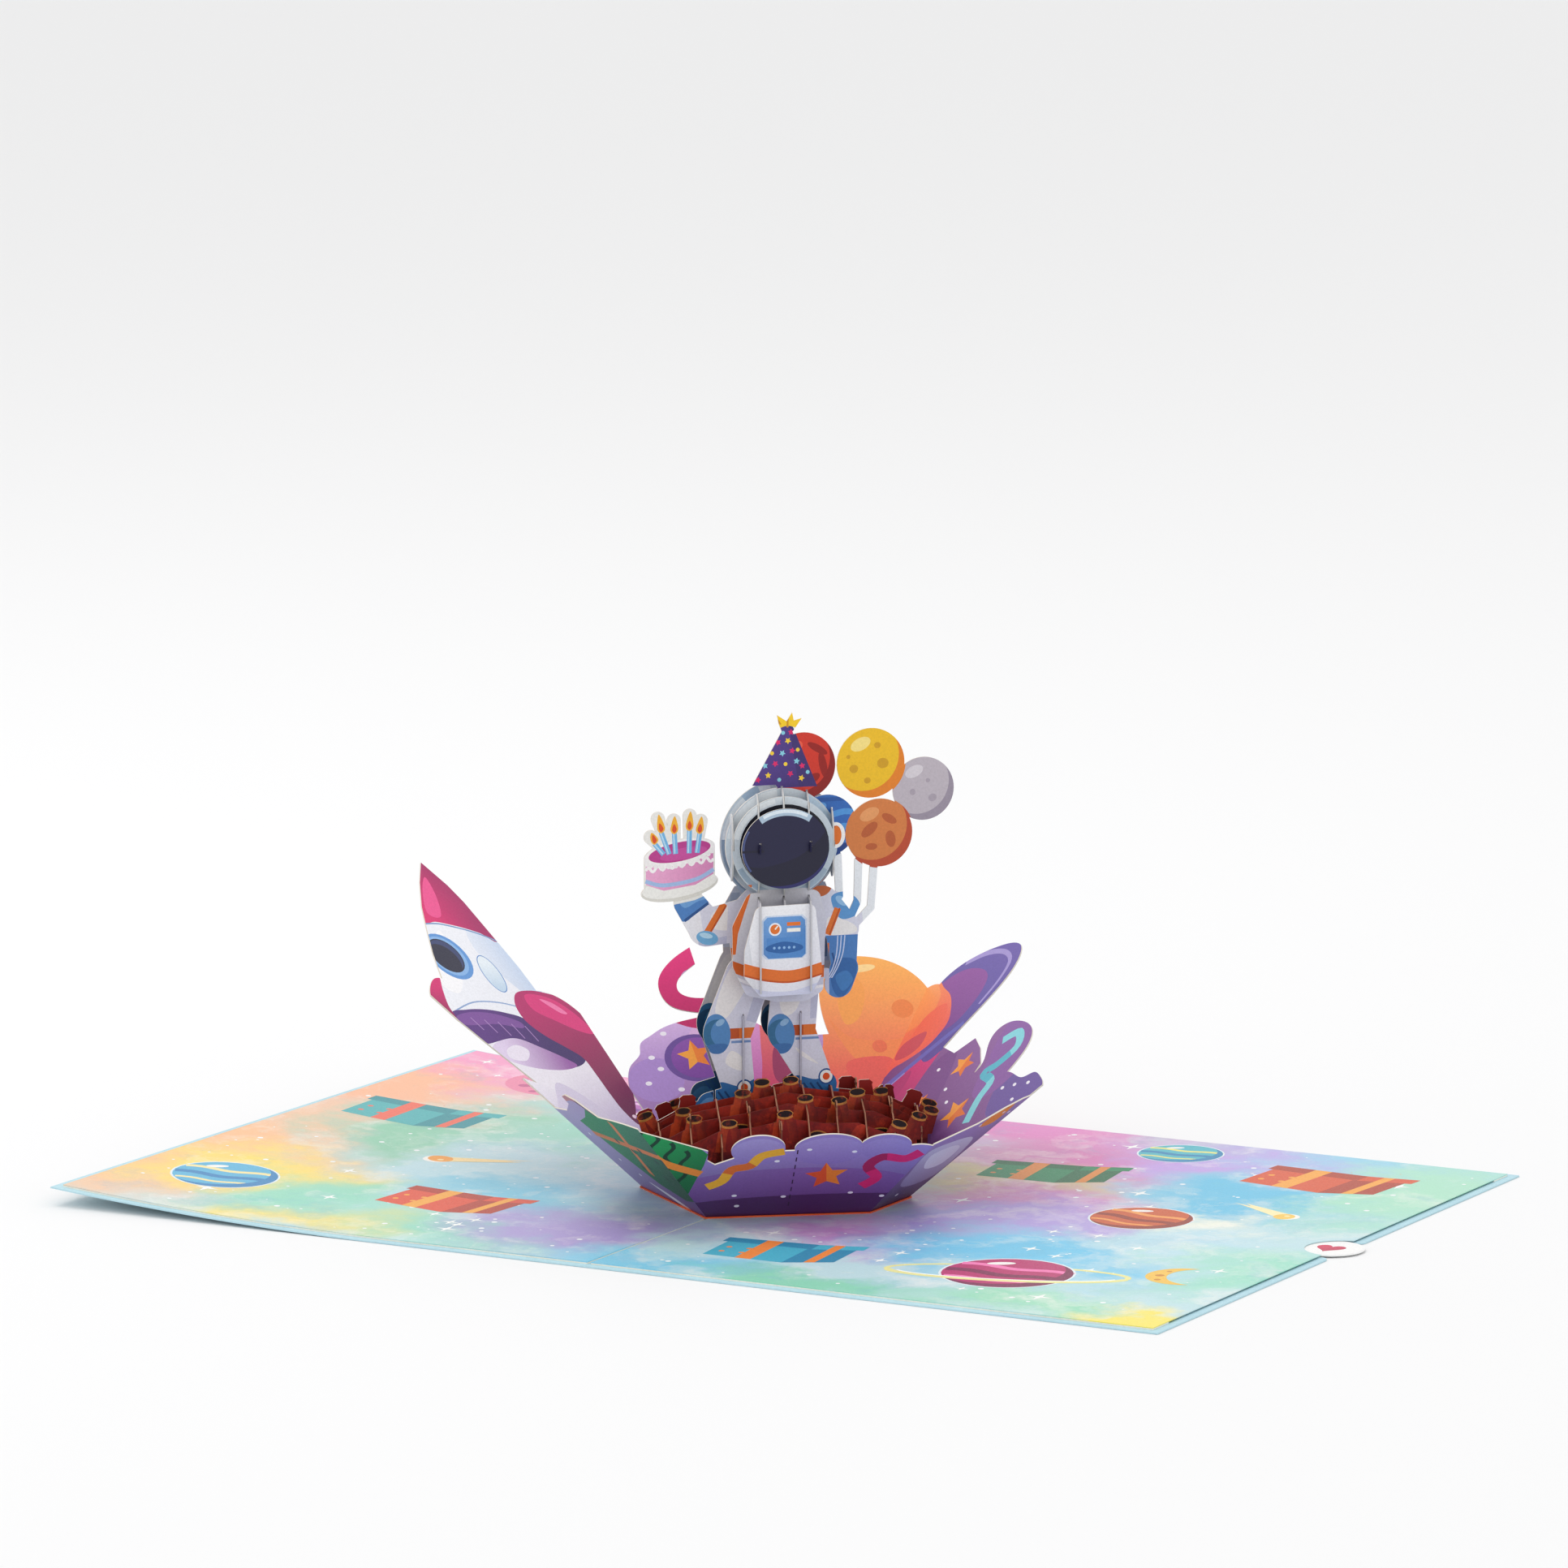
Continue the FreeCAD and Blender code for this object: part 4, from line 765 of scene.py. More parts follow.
# %% The figure's main slice
def full_figure():
    mound = [(box(-60, -2, 60, 27.5), ("#8E160E", "#3A0605", (0, 27), (0, 4)))]
    arms = [
        (band([(-4, 68), (-12, 66.6), (-20, 65.4)], 13), SUIT),
        (soft([(-17, 70), (-12, 71), (-9, 68), (-13, 65), (-18, 66)]), SUIT_LIGHT),
        (band([(-6, 64.2), (-13, 62.4), (-21, 61.2)], 2.6), SHADE),
        (band([(-14.6, 71.6), (-19.2, 64.2)], 1.7), ORANGE),
        (band([(-14.1, 71), (-18.6, 63.8)], 0.45), ORANGE_DEEP),
        (oval(-18.9, 63.3, 5.6, 3.4, -14), "#6FAEDA"), (oval(-19.2, 63.9, 3.4, 1.3, -14), "#B5DAF0"),
        (soft([(-18.2, 72.4), (-21, 70.6), (-24.8, 67.6), (-30, 72), (-26, 79), (-17.6, 76)]), BLUE),
        (soft([(-19, 73.4), (-21.4, 72.4), (-24.6, 71), (-26, 73.6), (-22, 76.4)]), "#6C9FD4"),
        (band([(-18.6, 71.9), (-24.6, 67.8)], 0.7), BLUE_DEEP),
        (band([(8, 70), (15, 66), (15.6, 57)], 12), SUIT),
        (soft([(12, 67), (18, 65), (18.6, 62.8), (12, 62.6)]), SUIT_LIGHT),
        (soft([(12.6, 72), (16.4, 73), (19.6, 70.4), (19.4, 67.4), (15.6, 66.2), (13.6, 68)]), "#5B97D0"),
        (oval(15.2, 70.8, 3.6, 1.9, -36), BLUE_PALE),
        (band([(14.2, 69), (11.6, 62.6)], 1.7), ORANGE), (band([(14.7, 69), (12.1, 62.6)], 0.4), ORANGE_DEEP),
        ([(11, 62.3), (21, 62.3), (21, 46), (10, 46), (10, 54), (12, 56)], BLUE),
        (soft([(13, 56), (18.6, 56), (18.4, 51), (15, 46.8), (12.6, 50)]), "#2F66A8"),
        (soft([(13.6, 52), (16.4, 53.4), (18, 51), (15.4, 48.4)]), "#3F7CBC"),
        (band(curve([(12.8, 58), (13.4, 54), (10.6, 51.6)]), 0.5), BLUE_DEEP),
    ]
    arms += [(band(curve([(14.2 + 0.9 * i, 62.2), (13.9 + 0.8 * i, 58), (13 + 0.6 * i, 54.5), (11.6 + 0.5 * i,
     51.8)]), 0.3),
              "#C3D0EE") for i in range(3)]
    torso = [
        ([(-13.6, 72), (-9, 76), (8, 76), (12, 73.8), (11, 62), (10.8, 46), (-12, 46), (-14, 62)], SUIT),
        (box(-14, 58, 12, 60.5), ORANGE), (box(-14, 46, 12, 57), SHADE),
        (soft([(6.6, 76), (8, 72.4), (11, 72.4), (12.6, 74.4), (11, 77)]), "#C4622E"),
        # The neck is printed; its grey, darker in the lower strip, is painted shade below the helmet.
        (box(-6, 70, 6, 79), "#9AA8B6"), (box(-6, 70, 6, 73), "#808D9D"),
    ]
    head = [
        (oval(0, HELMET, 28.4, 27.6), ("#D8E1E8", "#B4C3D1", (-6, 96), (10, 76))),
        (arc_band(0, HELMET, 26, 25.2, 95, 172, 1.8), "#EEF3F6"),
        (arc_band(0, HELMET, 26.2, 25.4, 20, 62, 1.3), "#B9CFE2"),
        (arc_band(0, HELMET, 27, 26.2, -110, -20, 1.2), "#93A8BC"),
        (oval(0, HELMET - 0.6, 20, 19.4), "#17152B"),
        (oval(13.7, HELMET + 1.5, 4.8, 6.4), "#F4F2F0"), (oval(13.8, HELMET + 1.5, 2.7, 4.7), ORANGE),
        (arc_band(13.8, HELMET + 1.5, 2.4, 4.4, 100, 260, 0.4), ORANGE_DEEP),
    ]
    r = 8.4
    balloons = (
        balloon(5.4, 104.6, r - 0.2, "#E8573D", "#CE3220", "#8C130F",
                ((0.45, 0.5, 0.7, 0.22, -30), (0.62, 0, 0.24, 0.8, 12), (0.3, -0.4, 0.5, 0.26, 30)), "#94160F")
        + balloon(11.4, 89.6, r - 0.8, "#5C9BDA", "#2E66B4", "#1B3F84", (), "#4E93D6")
        + [(wave(3, 20, 92.4, 0.5, 1.6, 1.5), "#4E93D6"), (wave(3, 20, 88.6, 0.6, 1.6, 1.7), "#4E93D6"),
           (wave(3, 20, 85.2, 0.5, 1.6, 1.1), "#3A7BC8"), (band([(2, 96), (22, 96)], 1), "#24549E")]
        + balloon(36, 97.6, r - 0.6, "#D3CBD2", "#BBB1BA", "#988D9C",
                  ((-0.35, -0.1, 0.2, 0.2, 0), (0.15, 0.25, 0.14, 0.14, 0), (0.3, -0.3, 0.28, 0.24, 20)), "#A79CA8")
        + balloon(22.6, 104.5, r + 0.2, "#F6DD84", "#ECBB1C", "#E27F1F",
                  ((-0.5, -0.15, 0.26, 0.24, 0), (0.2, 0.5, 0.2, 0.18, 0), (0.36, -0.02, 0.34, 0.3, 0),
                   (-0.1, -0.5, 0.2, 0.18, 0), (-0.66, 0.2, 0.12, 0.12, 0)), "#CE9A16")
        + balloon(24.8, 87.2, r, "#E59A60", "#D37B40", "#B9482A",
                  ((-0.3, 0.1, 0.6, 0.3, 40), (0.3, 0.4, 0.5, 0.24, -30), (0.34, -0.2, 0.3, 0.5, 10),
                   (-0.24, -0.4, 0.36, 0.2, 0)), "#B75A2E"))
    strings = [(box(10, 60, 30, 82.4), "#E9ECF0")]
    return (mound + strings + balloons + hat() + arms + cake() + torso + legs(0, 0) + head)


# %% [markdown]
# Further slices stand behind and before the main one and repeat its print. The slice behind has it in duller,
# darker inks, painted shade for lying behind; those before have lighter inks. This gives depth seen edge to edge.

# %% Rear and chest slices
def back_figure():
    # The suit, helmet, legs and mound here are darker copies of the main slice's inks: painted shade for the slice
    # behind.
    return ([(box(-60, -2, 60, 27), ("#7E120B", "#300504", (0, 26), (0, 4))),
             ([(-15.6, 50), (-15.6, 76), (14, 76), (14, 50)], ("#BCC4D0", "#9AA6B8", (-10, 74), (6, 54))),
             (box(-12.6, 58, -10.2, 73), "#9EABBD"), (box(8.6, 56, 12, 73), "#5A6E8C"),
             (oval(0, 66, 15, 8), "#C9CFD8"), (box(-16, 50, 14, 55), "#B4B2B4")]
            + legs(-1.2, 1.6, True)
            + [(disc(0, HELMET - 0.4, 15.6), ("#CBD8E2", "#9DB4C9", (-8, 96), (10, 76))),
               (arc_band(0, HELMET - 0.4, 27.6, 27.6, 100, 176, 1.6), "#E3EBF1"),
               (arc_band(0, HELMET - 0.4, 28.4, 28.4, 176, 235, 1.2), "#8FA6BD"),
               (arc_band(0, HELMET - 0.4, 28, 28, 112, 130, 2.2), "#A9C0D6")])


def chest_figure():
    return [
        (oval(0, HELMET + 0.3, 26.4, 25.2), ("#DCE4EA", "#B4C2CF", (-5, 97), (8, 74))),
        (arc_band(0, HELMET + 0.3, 24.2, 23, 100, 168, 1.2), "#EFF4F7"),
        (arc_band(0, HELMET + 0.3, 24.2, 23, 205, 330, 1.3), "#9DB0C2"),
        (oval(0.2, HELMET + 0.5, 22.6, 20.6), "#0D0C1C"),
        # The neck is printed; its grey, darker in the lower strip, is painted shade below the helmet.
        (box(-6, 70, 6, 75.6), "#99A6B4"), (box(-6, 70, 6, 73.4), "#84919F"),
        (box(-14, 46, 12, 75.6), ("#CFCDD2", "#C6C8DC", (-12, 70), (8, 48))),
        ([(-14, 60), (-14, 77), (-8, 77), (-8.6, 74), (-10, 70), (-11.6, 65), (-12.2, 60)], "#DD6A24"),
        ([(-14, 60), (-14, 77), (-11.8, 77), (-12.6, 70), (-13, 62)], ORANGE_DEEP),
        ([(-14, 58.9), (-9, 56.9), (0, 55.6), (10.6, 56.4), (10.6, 53.4), (0, 52.6), (-9, 54), (-14, 56)], "#CF6020"),
        ([(-14, 53.6), (-6, 51), (2, 50), (11, 51), (11, 46), (-14, 46)], "#D9DBEC"),
        (band(curve([(-13, 54.6), (-6, 51.6), (2, 50.4), (10, 51.2)]), 0.7), "#EEEDF2"),
    ]


# %% [markdown]
# The two foremost slices are small. The panel has plain lamps and a slot, and the visor is dark and blank.

# %% Chest plate and visor
def front_chest():
    panel = [(-5.6, 60.9), (-4.6, 59.9), (3.9, 59.9), (4.9, 60.9), (4.9, 68.9), (3.9, 69.9), (-4.6, 69.9), (-5.6,
     68.9)]
    shapes = [
        (box(-14, 46, 12, 76), ("#F1F0F3", "#E3E3EC", (-4, 72), (6, 52))),
        # The greyer strip down the left side is painted shade on the white plate.
        ([(-14, 46), (-14, 76), (-8.2, 76), (-9.2, 64), (-7.4, 52), (-4, 46)], "#DCDCE2"),
        (soft([(-11, 53), (-5, 51.8), (2, 51.6), (10, 53.4), (10, 48), (-11, 48)]), "#CDD0E6"),
        (band(curve([(-11.4, 57.6), (-5, 55.8), (2, 55.2), (10, 57)]), 3), "#DF6E26"),
        (band(curve([(-11.4, 56.2), (-5, 54.4), (2, 53.8), (10, 55.6)]), 0.45), ORANGE_DEEP),
        ([(-0.35 + (x + 0.35) * 1.08, 64.9 + (y - 64.9) * 1.07) for x, y in panel], "#C9D6EA"),
        (panel, ("#6FA0DA", "#3D76B8", (-3, 69.6), (3, 60))),
        ([(x + 0.1, 64.2 + (y - 64.9) * 0.9) for x, y in panel[1:5]] + [(4.3, 64.8), (-4.9, 64.8)], "#4F87C8"),
        (oval(-2.7, 66.9, 3.2, 3.2), "#E9EEF4"), (oval(-2.7, 66.9, 2.4, 2.4), ORANGE),
        (band([(-2.7, 66.9), (-2, 67.7)], 0.35), "#F4F1E6"),
        (box(0.3, 67.6, 3.7, 68.5), ORANGE), (box(0.3, 66.1, 3.7, 67), "#F3EFE8"),
        (soft([(-4.6, 62.8), (-0.4, 63.8), (3.9, 62.8), (3.9, 61.6), (-0.4, 60.9), (-4.6, 61.6)]), "#2A60A2"),
    ]
    shapes += [(disc(-2.9 + 1.25 * i, 62.3, 0.34, 10), "#8DB8E6") for i in range(5)]
    return shapes


def front_visor():
    low_moon = [(-12, 84), (-9.6, 79.6), (-4, 77.6), (2, 77.8), (7, 80), (10.4, 84), (12.4, 90), (14, 80), (8,
     73), (-8, 73)]
    return [
        (oval(0, HELMET + 1, 30, 30), "#1B193C"),
        (soft([(-13, 83), (-6, 82.2), (3, 84.4), (9, 89), (13, 95), (14, 84), (6, 76), (-8, 76)]), "#17152F"),
        (soft(low_moon), "#272660"),
        (arc_band(0, HELMET + 1, 20.6, 17.8, 52, 128, 1.7), "#A9BDD0"),
        (arc_band(0, HELMET + 1, 21, 18.3, 58, 122, 0.8), "#DCE6EE"),
        (arc_band(0, HELMET + 1, 21.2, 18.4, 150, 215, 0.5), "#45507E"),
        (box(-12, 85.9, -5.4, 86.5), "#17152F"),
    ]


# %% [markdown]
# The drawings are now cut to the solids' own outlines, so that no ink passes a cut edge.

# %% Print the figure
FULL = long_plane(-1)
print_piece("print_figure_full", "card", both_sides("figure_full", FULL, full_figure(), "#ECEBF1"), INK)
print_piece("print_figure_back", "card",
            both_sides("figure_back", long_plane(-2), back_figure(), "#9AA3B2"), INK)
print_piece("print_figure_chest", "card",
            both_sides("figure_chest", long_plane(0), chest_figure(), "#C9CDD6"), INK)
print_piece("print_chest_plate", "card",
            both_sides("chest_plate", long_plane(1), front_chest(), "#E9E9EF"), INK)
print_piece("print_visor", "card", both_sides("visor", long_plane(1), front_visor(), "#1F1D45"), INK)

RIB_PITCH = 6.35
for family, steps in (("head_rib", (-2, -1, 0, 1, 2)), ("body_rib", (-1, 0, 1))):
    for number, step in enumerate(steps, start=1):
        name = f"{family}_{number}"
        # On head ribs the navy box past 9.1 mm is painted shade where the ribs pass through the visor.
        paint = ("#CBD1D8", "#A9B2BD", (0, 96), (0, 72)) if family == "head_rib" else "#CACAD2"
        print_piece("print_" + name, "card",
                    both_sides(name, cross_plane(step * RIB_PITCH), [(box(9.1, 76, 20, 99), "#1C1A3C")], paint)
                    if family == "head_rib" else both_sides(name, cross_plane(step * RIB_PITCH), [], paint), INK)


# %% [markdown]
# The mound: dark red print with chimneys whose mouths have a bright orange rim.

# %% Mound prints
ROCK_PITCH = 7.3
ROCK_START = -9.9
MIDDLE, HALF_LONG, HALF_DEEP, PEAK, DROP = 3.2, 37.0, 27.0, 26.3, 10.5


def mound_top(along, across):
    away = (along / (HALF_LONG * 1.08)) ** 2 + ((across - MIDDLE) / (HALF_DEEP * 1.1)) ** 2
    return PEAK - DROP * away


def crater(x, y, wide, tall, tilt):
    return [(oval(x, y, wide + 0.7, tall + 0.6, tilt, 22), "#C98A3C"), (oval(x, y, wide, tall, tilt, 22), "#170303"),
            (oval(x, y - tall * 0.9, wide * 0.7, tall * 0.7, tilt, 18), "#A5280F")]


def rock_print(tops, chimneys, seed, low, high):
    dice = random.Random(seed)
    shapes = [(box(-60, -2, 60, 60), ("#A5230F", "#4A0805", (0, 25), (0, 8)))]
    for _ in range(22):
        x, y = dice.uniform(low, high), dice.uniform(6, 25)
        wide, tall = dice.uniform(3, 8), dice.uniform(1.4, 4)
        ring = [(px + dice.uniform(-0.6, 0.6), py + dice.uniform(-0.5, 0.5))
                for px, py in oval(x, y, wide, tall, dice.uniform(-60, 60), 9)]
        shapes.append((soft(ring, 2), dice.choice(("#6E0D08", "#B93618", "#4A0705", "#8C180D"))))
    spot = low + dice.uniform(5, 9)
    while spot < high - 4:
        if all(abs(spot - x) > 5 for x in chimneys):
            shapes += crater(spot, tops(spot) - dice.uniform(3.2, 5), dice.uniform(4.4, 6.6), dice.uniform(1.8, 2.6),
                             dice.uniform(-14, 14))
        spot += dice.uniform(9, 15)
    for x in chimneys:
        top = tops(x)
        lean = 0.9 if x > high - 6 else -0.9 if x < low + 6 else 0.0
        tip = x + 3.2 * lean
        shapes += [([(x - 3.6, top - 5), (x + 3.6, top - 5), (tip + 2.3, top + 3), (tip - 2.3, top + 3)],
                    ("#C2451C", "#7A120A", (x - 2.4, top), (x + 2.6, top))),
                   (soft([(x - 1, top - 4), (tip, top + 0.6), (x + 1, top - 4), (x, top - 5)]), "#8A1A0C"),
                   (oval(tip, top + 2, 5, 2.7, -20 * lean), "#D08A3E"),
                   (oval(tip, top + 2, 3.7, 1.6, -20 * lean), "#140202")]
    return shapes


LONG_CHIMNEYS = {-3: (-20, -5.5, 16), 0: (-33, -6.3, 1, 24, 33.5), 1: (-28, -13, 16, 32), 2: (-27, 1, 9.5, 27),
                 3: (-20, -6, 20)}
CROSS_CHIMNEYS = {-3: (), -2: (14,), -1: (-12,), 0: (19,), 1: (26,), 2: (), 3: (19,), 4: (-9,), 5: (12,), 6: ()}
for number, step in enumerate((-3, 0, 1, 2, 3), start=1):
    across = (step + 0.5) * PITCH
    lean_shift = -math.tan(SKEW) * across
    reach = HALF_LONG * math.sqrt(max(0.05, 1 - ((across - MIDDLE) / HALF_DEEP) ** 2))
    plane = long_plane(step, False)
    plane.origin = plane.origin + plane.along * FIGURE_SHIFT
    tops = lambda x, a=across, s=lean_shift: mound_top(x - s, a)
    shapes = rock_print(tops, LONG_CHIMNEYS[step], 10 + number, -reach + lean_shift, reach + lean_shift)
    name = f"mound_slice_{number}"
    print_piece("print_" + name, "card", both_sides(name, plane, shapes, "#6A0E09"), ROCK_INK)
for number, step in enumerate(range(-3, 7), start=1):
    across = ROCK_START + step * ROCK_PITCH
    at = across + FIGURE_SHIFT
    reach = HALF_DEEP * math.sqrt(max(0.05, 1 - (at / HALF_LONG) ** 2))
    shapes = rock_print(lambda s, a=at: mound_top(a, s), CROSS_CHIMNEYS[step], 40 + number, MIDDLE - reach,
                        MIDDLE + reach)
    if step in (0, 2):
        shapes.append((box(-20, 27, 20, 60), "#B9B9C8"))
    name = f"cross_slice_{number}"
    print_piece("print_" + name, "card",
                both_sides(name, cross_plane(across), shapes, "#6A0E09"), ROCK_INK)


# %% [markdown]
# The bowl: purple clouds, a parcel, ribbons and stars; a rocket on the left wall; a ringed planet behind.

# %% Bowl prints
LILAC, PURPLE, PLUM = "#A08CCB", "#7D5A9E", "#43204F"


def dots(places, r=0.55, ink="#F3EEF8"):
    return [(oval(x, y, 2.4 * r, 1.8 * r, 0, 12), ink) for x, y in places]


def perforation(x, low, high):
    return [(box(x - 0.16, y, x + 0.16, y + 1.7), "#2E1238") for y in
            [low + 3.1 * i for i in range(int((high - low) / 3.1))]]


def ribbon_curl(points, width, ink, dark):
    """A ribbon that shows its darker back along its middle third."""
    line = curve(points)
    third = len(line) // 3
    return [(band(line, width), ink), (band(line[third:2 * third + 1], width * 0.98), dark)]


def two_tone_star(x, y, r, turn, ink, dark):
    points = star(x, y, r, 5, 0.46, turn)
    return [(points, ink), (points[:6] + [(x, y)], dark)]


# %% [markdown]
# The bowl's front sheet has two walls. Cloud tops, a parcel, a star and ribbons are drawn in each wall's plane.

# %% Front walls
# The base darkens from lilac at the rim to plum at the floor, and the lower ovals are darker still: printed purple
# with painted shade at the bottom.
front_right = ([(box(-60, -4, 60, 60), ("#9C86C9", PLUM, (0, 26), (0, 1))),
                (oval(-10, 27, 13, 11), ("#AD9AD6", "#8E78BE", (-10, 33), (-10, 22))),
                (oval(7, 26.6, 17, 11), ("#AA96D3", "#8B75BC", (7, 33), (7, 21))),
                (oval(21, 26.6, 12, 9), ("#A792D1", "#8973BA", (21, 32), (21, 21))),
                (oval(0, 12, 60, 16), ("#8561A8", "#6A3F86", (0, 20), (0, 4))),
                (oval(8, 4.6, 70, 8), "#4E2560")]
               + ribbon_curl([(-21, 13), (-17.6, 15.4), (-15.6, 20), (-11.4, 21.4), (-8.8, 25.4), (-3.6, 27)], 2.8,
                             "#F2B02C", "#DE6A22")
               + two_tone_star(7.6, 16.4, 5.4, 96, "#F08424", "#E2531E")
               + ribbon_curl([(16.6, 11.4), (19.8, 15), (17.4, 19.6), (20.6, 23.4), (26, 22.4), (29.6, 25)], 2.9,
                             "#DB1F6C", "#A81552")
               + dots([(-14, 9), (-5, 23), (2.4, 27.4), (13.4, 26), (14.2, 8.8), (-13, 4.6), (-2, 8), (22, 7)])
               + perforation(-0.4, 4, 29)
               + [([(-60, 60), (-38, 46), (-22, 26.8), (-22.6, 22), (-25.4, 9.6), (-60, 9.6)],
                   ("#1F9A52", "#12683A", (-36, 34), (-25, 14)))]
               + [(band([(x + 0.9 * math.sin(0.9 * k), y0 - 1.1 * k) for k in range(17)], 1.1), "#0B3A24")
                  for x, y0 in ((-27.5, 28.5), (-31.4, 32), (-35.4, 35.6), (-39.6, 39))]
               + [(band(curve([(-23, 18.6), (-32.9, 24.1), (-38.6, 31.4), (-50, 43)]), 2.4), "#EE8A30")])

# The base darkens towards the lower right: printed purple with painted shade towards the floor.
front_left = ([(box(-60, -4, 60, 60), ("#B9A6D6", "#6D4A8C", (-10, 30), (10, 0))),
               ([(-16, 26), (-8, 17), (4, 8), (16, 5), (60, 16), (60, 60), (10, 40), (-6, 30)],
                ("#1C8A4C", "#0F5230", (0, 26), (14, 8))),
               (band([(-14, 22), (10, 24), (50, 27)], 2), "#E07A2C"), (band([(16, 34), (6, 12)], 2.4), "#E07A2C"),
               (soft([(-6, 6), (4, 3.6), (13, -1), (4, 1)]), "#E6E1EC")]
              + [(disc(4 + 7 * (i % 5), 14 + 8 * (i // 5) + 2 * (i % 2), 1.0, 12), "#0C3A24") for i in range(10)]
              + ribbon_curl([(20, 37), (12, 36), (6, 35), (-2, 38), (-10, 36)], 2.2, "#C77A86", "#6E2F5E")
              + dots([(-14, 12), (-8, 8), (-20, 20)]))


# %% [markdown]
# The side walls are sheets of their own: a low plain one on the right, with a painted highlight and painted shade
# towards the floor, and the rocket on the left.

# %% Side walls
# Printed purple that darkens to deep plum at the floor: painted shade at the bottom.
right = ([(box(-60, -4, 60, 60), ("#9A80BE", "#3E1C4C", (2, 32), (0, 2))),
          # The pale patch and its lighter middle are a painted highlight on the glossy wall.
          (soft([(-15.4, 25.8), (-6, 27), (7.6, 25.4), (12, 19.7), (11.8, 9.8), (2.2, 7.7), (-8.4, 10.3), (-13, 18)]),
           ("#C9C7DC", "#8A7FA6", (4, 26), (0, 9))),
          (soft([(-10, 23), (0, 24), (7, 21), (6, 15), (-4, 16)]), "#D9DAE6"),
          (soft([(10, 40), (14, 36), (12, 30), (4, 31)]), "#F08A2C")]
         + dots([(-3, 5), (12, 34), (16, 33), (4, 31)]))

left = ([(box(-60, -4, 60, 120), ("#F1EDF6", "#C3B4DC", (0, 34), (0, 12))),
         (soft([(8, 34), (14, 30), (18, 24), (8, 18), (0, 22)]), "#DAD2E8"),
         (soft([(-22, 60), (-18, 74), (-18, 90), (-8, 108), (2, 96), (12, 84), (24, 72), (28, 60), (20, 56),
                (-14, 44)]), "#F1F3F9"),
         (soft([(-8, 83), (-14, 78), (-17, 70), (-16, 60), (-10, 58), (-6, 66), (-4, 76)]), ("#C9D9F0",
          "#E3EAF6", (-15, 70), (-4, 72))),
         (soft([(3, 84), (8, 82), (14, 76), (20, 70), (16, 66), (8, 72)]), "#FBFBFD"),
         (soft([(7.2, 88), (2, 87), (-2.4, 85.2), (-7.1, 82.9), (-11.4, 80.3), (-15.8, 77), (-22, 92), (-12,
          110), (12, 96)]),
          ("#DE2370", "#A81C62", (2, 92), (-12, 92))),
         (soft([(-9, 100), (-3, 96), (2, 90), (-2, 88), (-7, 94)]), "#EE4E90"),
         (band(curve([(7.2, 87.4), (2, 86.4), (-2.4, 84.6), (-7.1, 82.3), (-11.4, 79.7), (-15.8, 76.4)]), 0.5),
          "#7A9CC8"),
         (disc(8.4, 76.6, 7.6), "#5E97D8"), (disc(8.6, 76.8, 6.5), "#89B6E8"), (disc(8.9, 77, 5.6), "#20203A"),
         (crescent(8.9, 77, 5.2, 1.6, -1), "#34406E"),
         (oval(-2.4, 68.4, 7, 12.4, 14), "#5E8FCB"), (oval(-2.4, 68.4, 6.4, 11.8, 14), ("#EAF3F9", "#BCD6EC",
          (-3, 72), (0, 62))),
         (band(curve([(25, 61.4), (14, 62.4), (4, 60), (-4, 56)]), 0.45), "#8FA9D2"),
         (soft([(26, 61), (18.8, 61), (11.5, 59.4), (5.5, 57), (0.3, 53.9), (-3, 48), (-7, 42), (-9.6, 37.8),
          (-3.7, 36.6),
                (0.1, 39), (4.1, 43), (8.7, 46.8), (15.4, 49.8), (24, 51.2)]), ("#5A2E80", "#3B1E66", (14, 58),
                 (0, 42))),
         (soft([(25, 60), (18, 60), (10, 57.6), (3, 53.4), (4, 51.4), (12, 54.6), (24, 57)]), "#7C4A9A"),
         (soft([(21.9, 48.8), (17, 50), (9.5, 49.2), (3.1, 44.6), (-2.8, 39.4), (-4.3, 36.8), (2.4, 37), (11.4, 39.6),
                (18.7, 43.4), (22.8, 46.8)]), ("#E3D3EE", "#9A5CA8", (18, 46), (-2, 38))),
         (soft([(17, 47), (12, 47.6), (9, 45), (13, 42.6), (18, 44.4)]), "#EFE7F5")]
        + [(band([(20 - 4.4 * i, 58.6 - 1.7 * i), (19 - 4.2 * i, 54.2 - 1.9 * i)], 0.35),
         "#A880BE") for i in range(5)]
        + [(soft([(-2.6, 59.9), (-5.9, 61.4), (-11.2, 60.8), (-16, 59), (-22, 55.4), (-25.4, 49), (-26, 40),
         (-21, 29),
                  (-16, 22), (-12.5, 17.6), (-8.4, 16), (-7, 20.9), (-7.4, 26), (-8.7, 33.1), (-9.2, 38.3),
                   (-6.4, 42.4),
                  (-2.2, 47.4), (0.3, 52.5), (-0.2, 56.8)]), ("#B81C68", "#6A1448", (-10, 56), (-12, 22))),
           (soft([(-7.6, 60), (-13.6, 58.6), (-18.4, 55), (-21.4, 49), (-21.6, 44), (-17, 45.6), (-11, 50.6),
                  (-6.2, 55.4)]), "#DC2B7A"),
           (soft([(-12, 57.6), (-15.6, 55.6), (-18, 51.6), (-15.4, 52.4)]), "#F27AAE"),
           (soft([(18.4, 72.4), (22, 74), (31, 69), (31, 60), (26, 58.6), (24.4, 63.5), (21.5, 68.1)]),
            ("#D62270", "#97175A", (24, 70), (28, 62)))]
        + dots([(-9.3, 18.6)], 0.7, "#F3D8E8"))


# %% [markdown]
# The back sheet has the ringed planet on one wall and a cloud with a planet on the other.

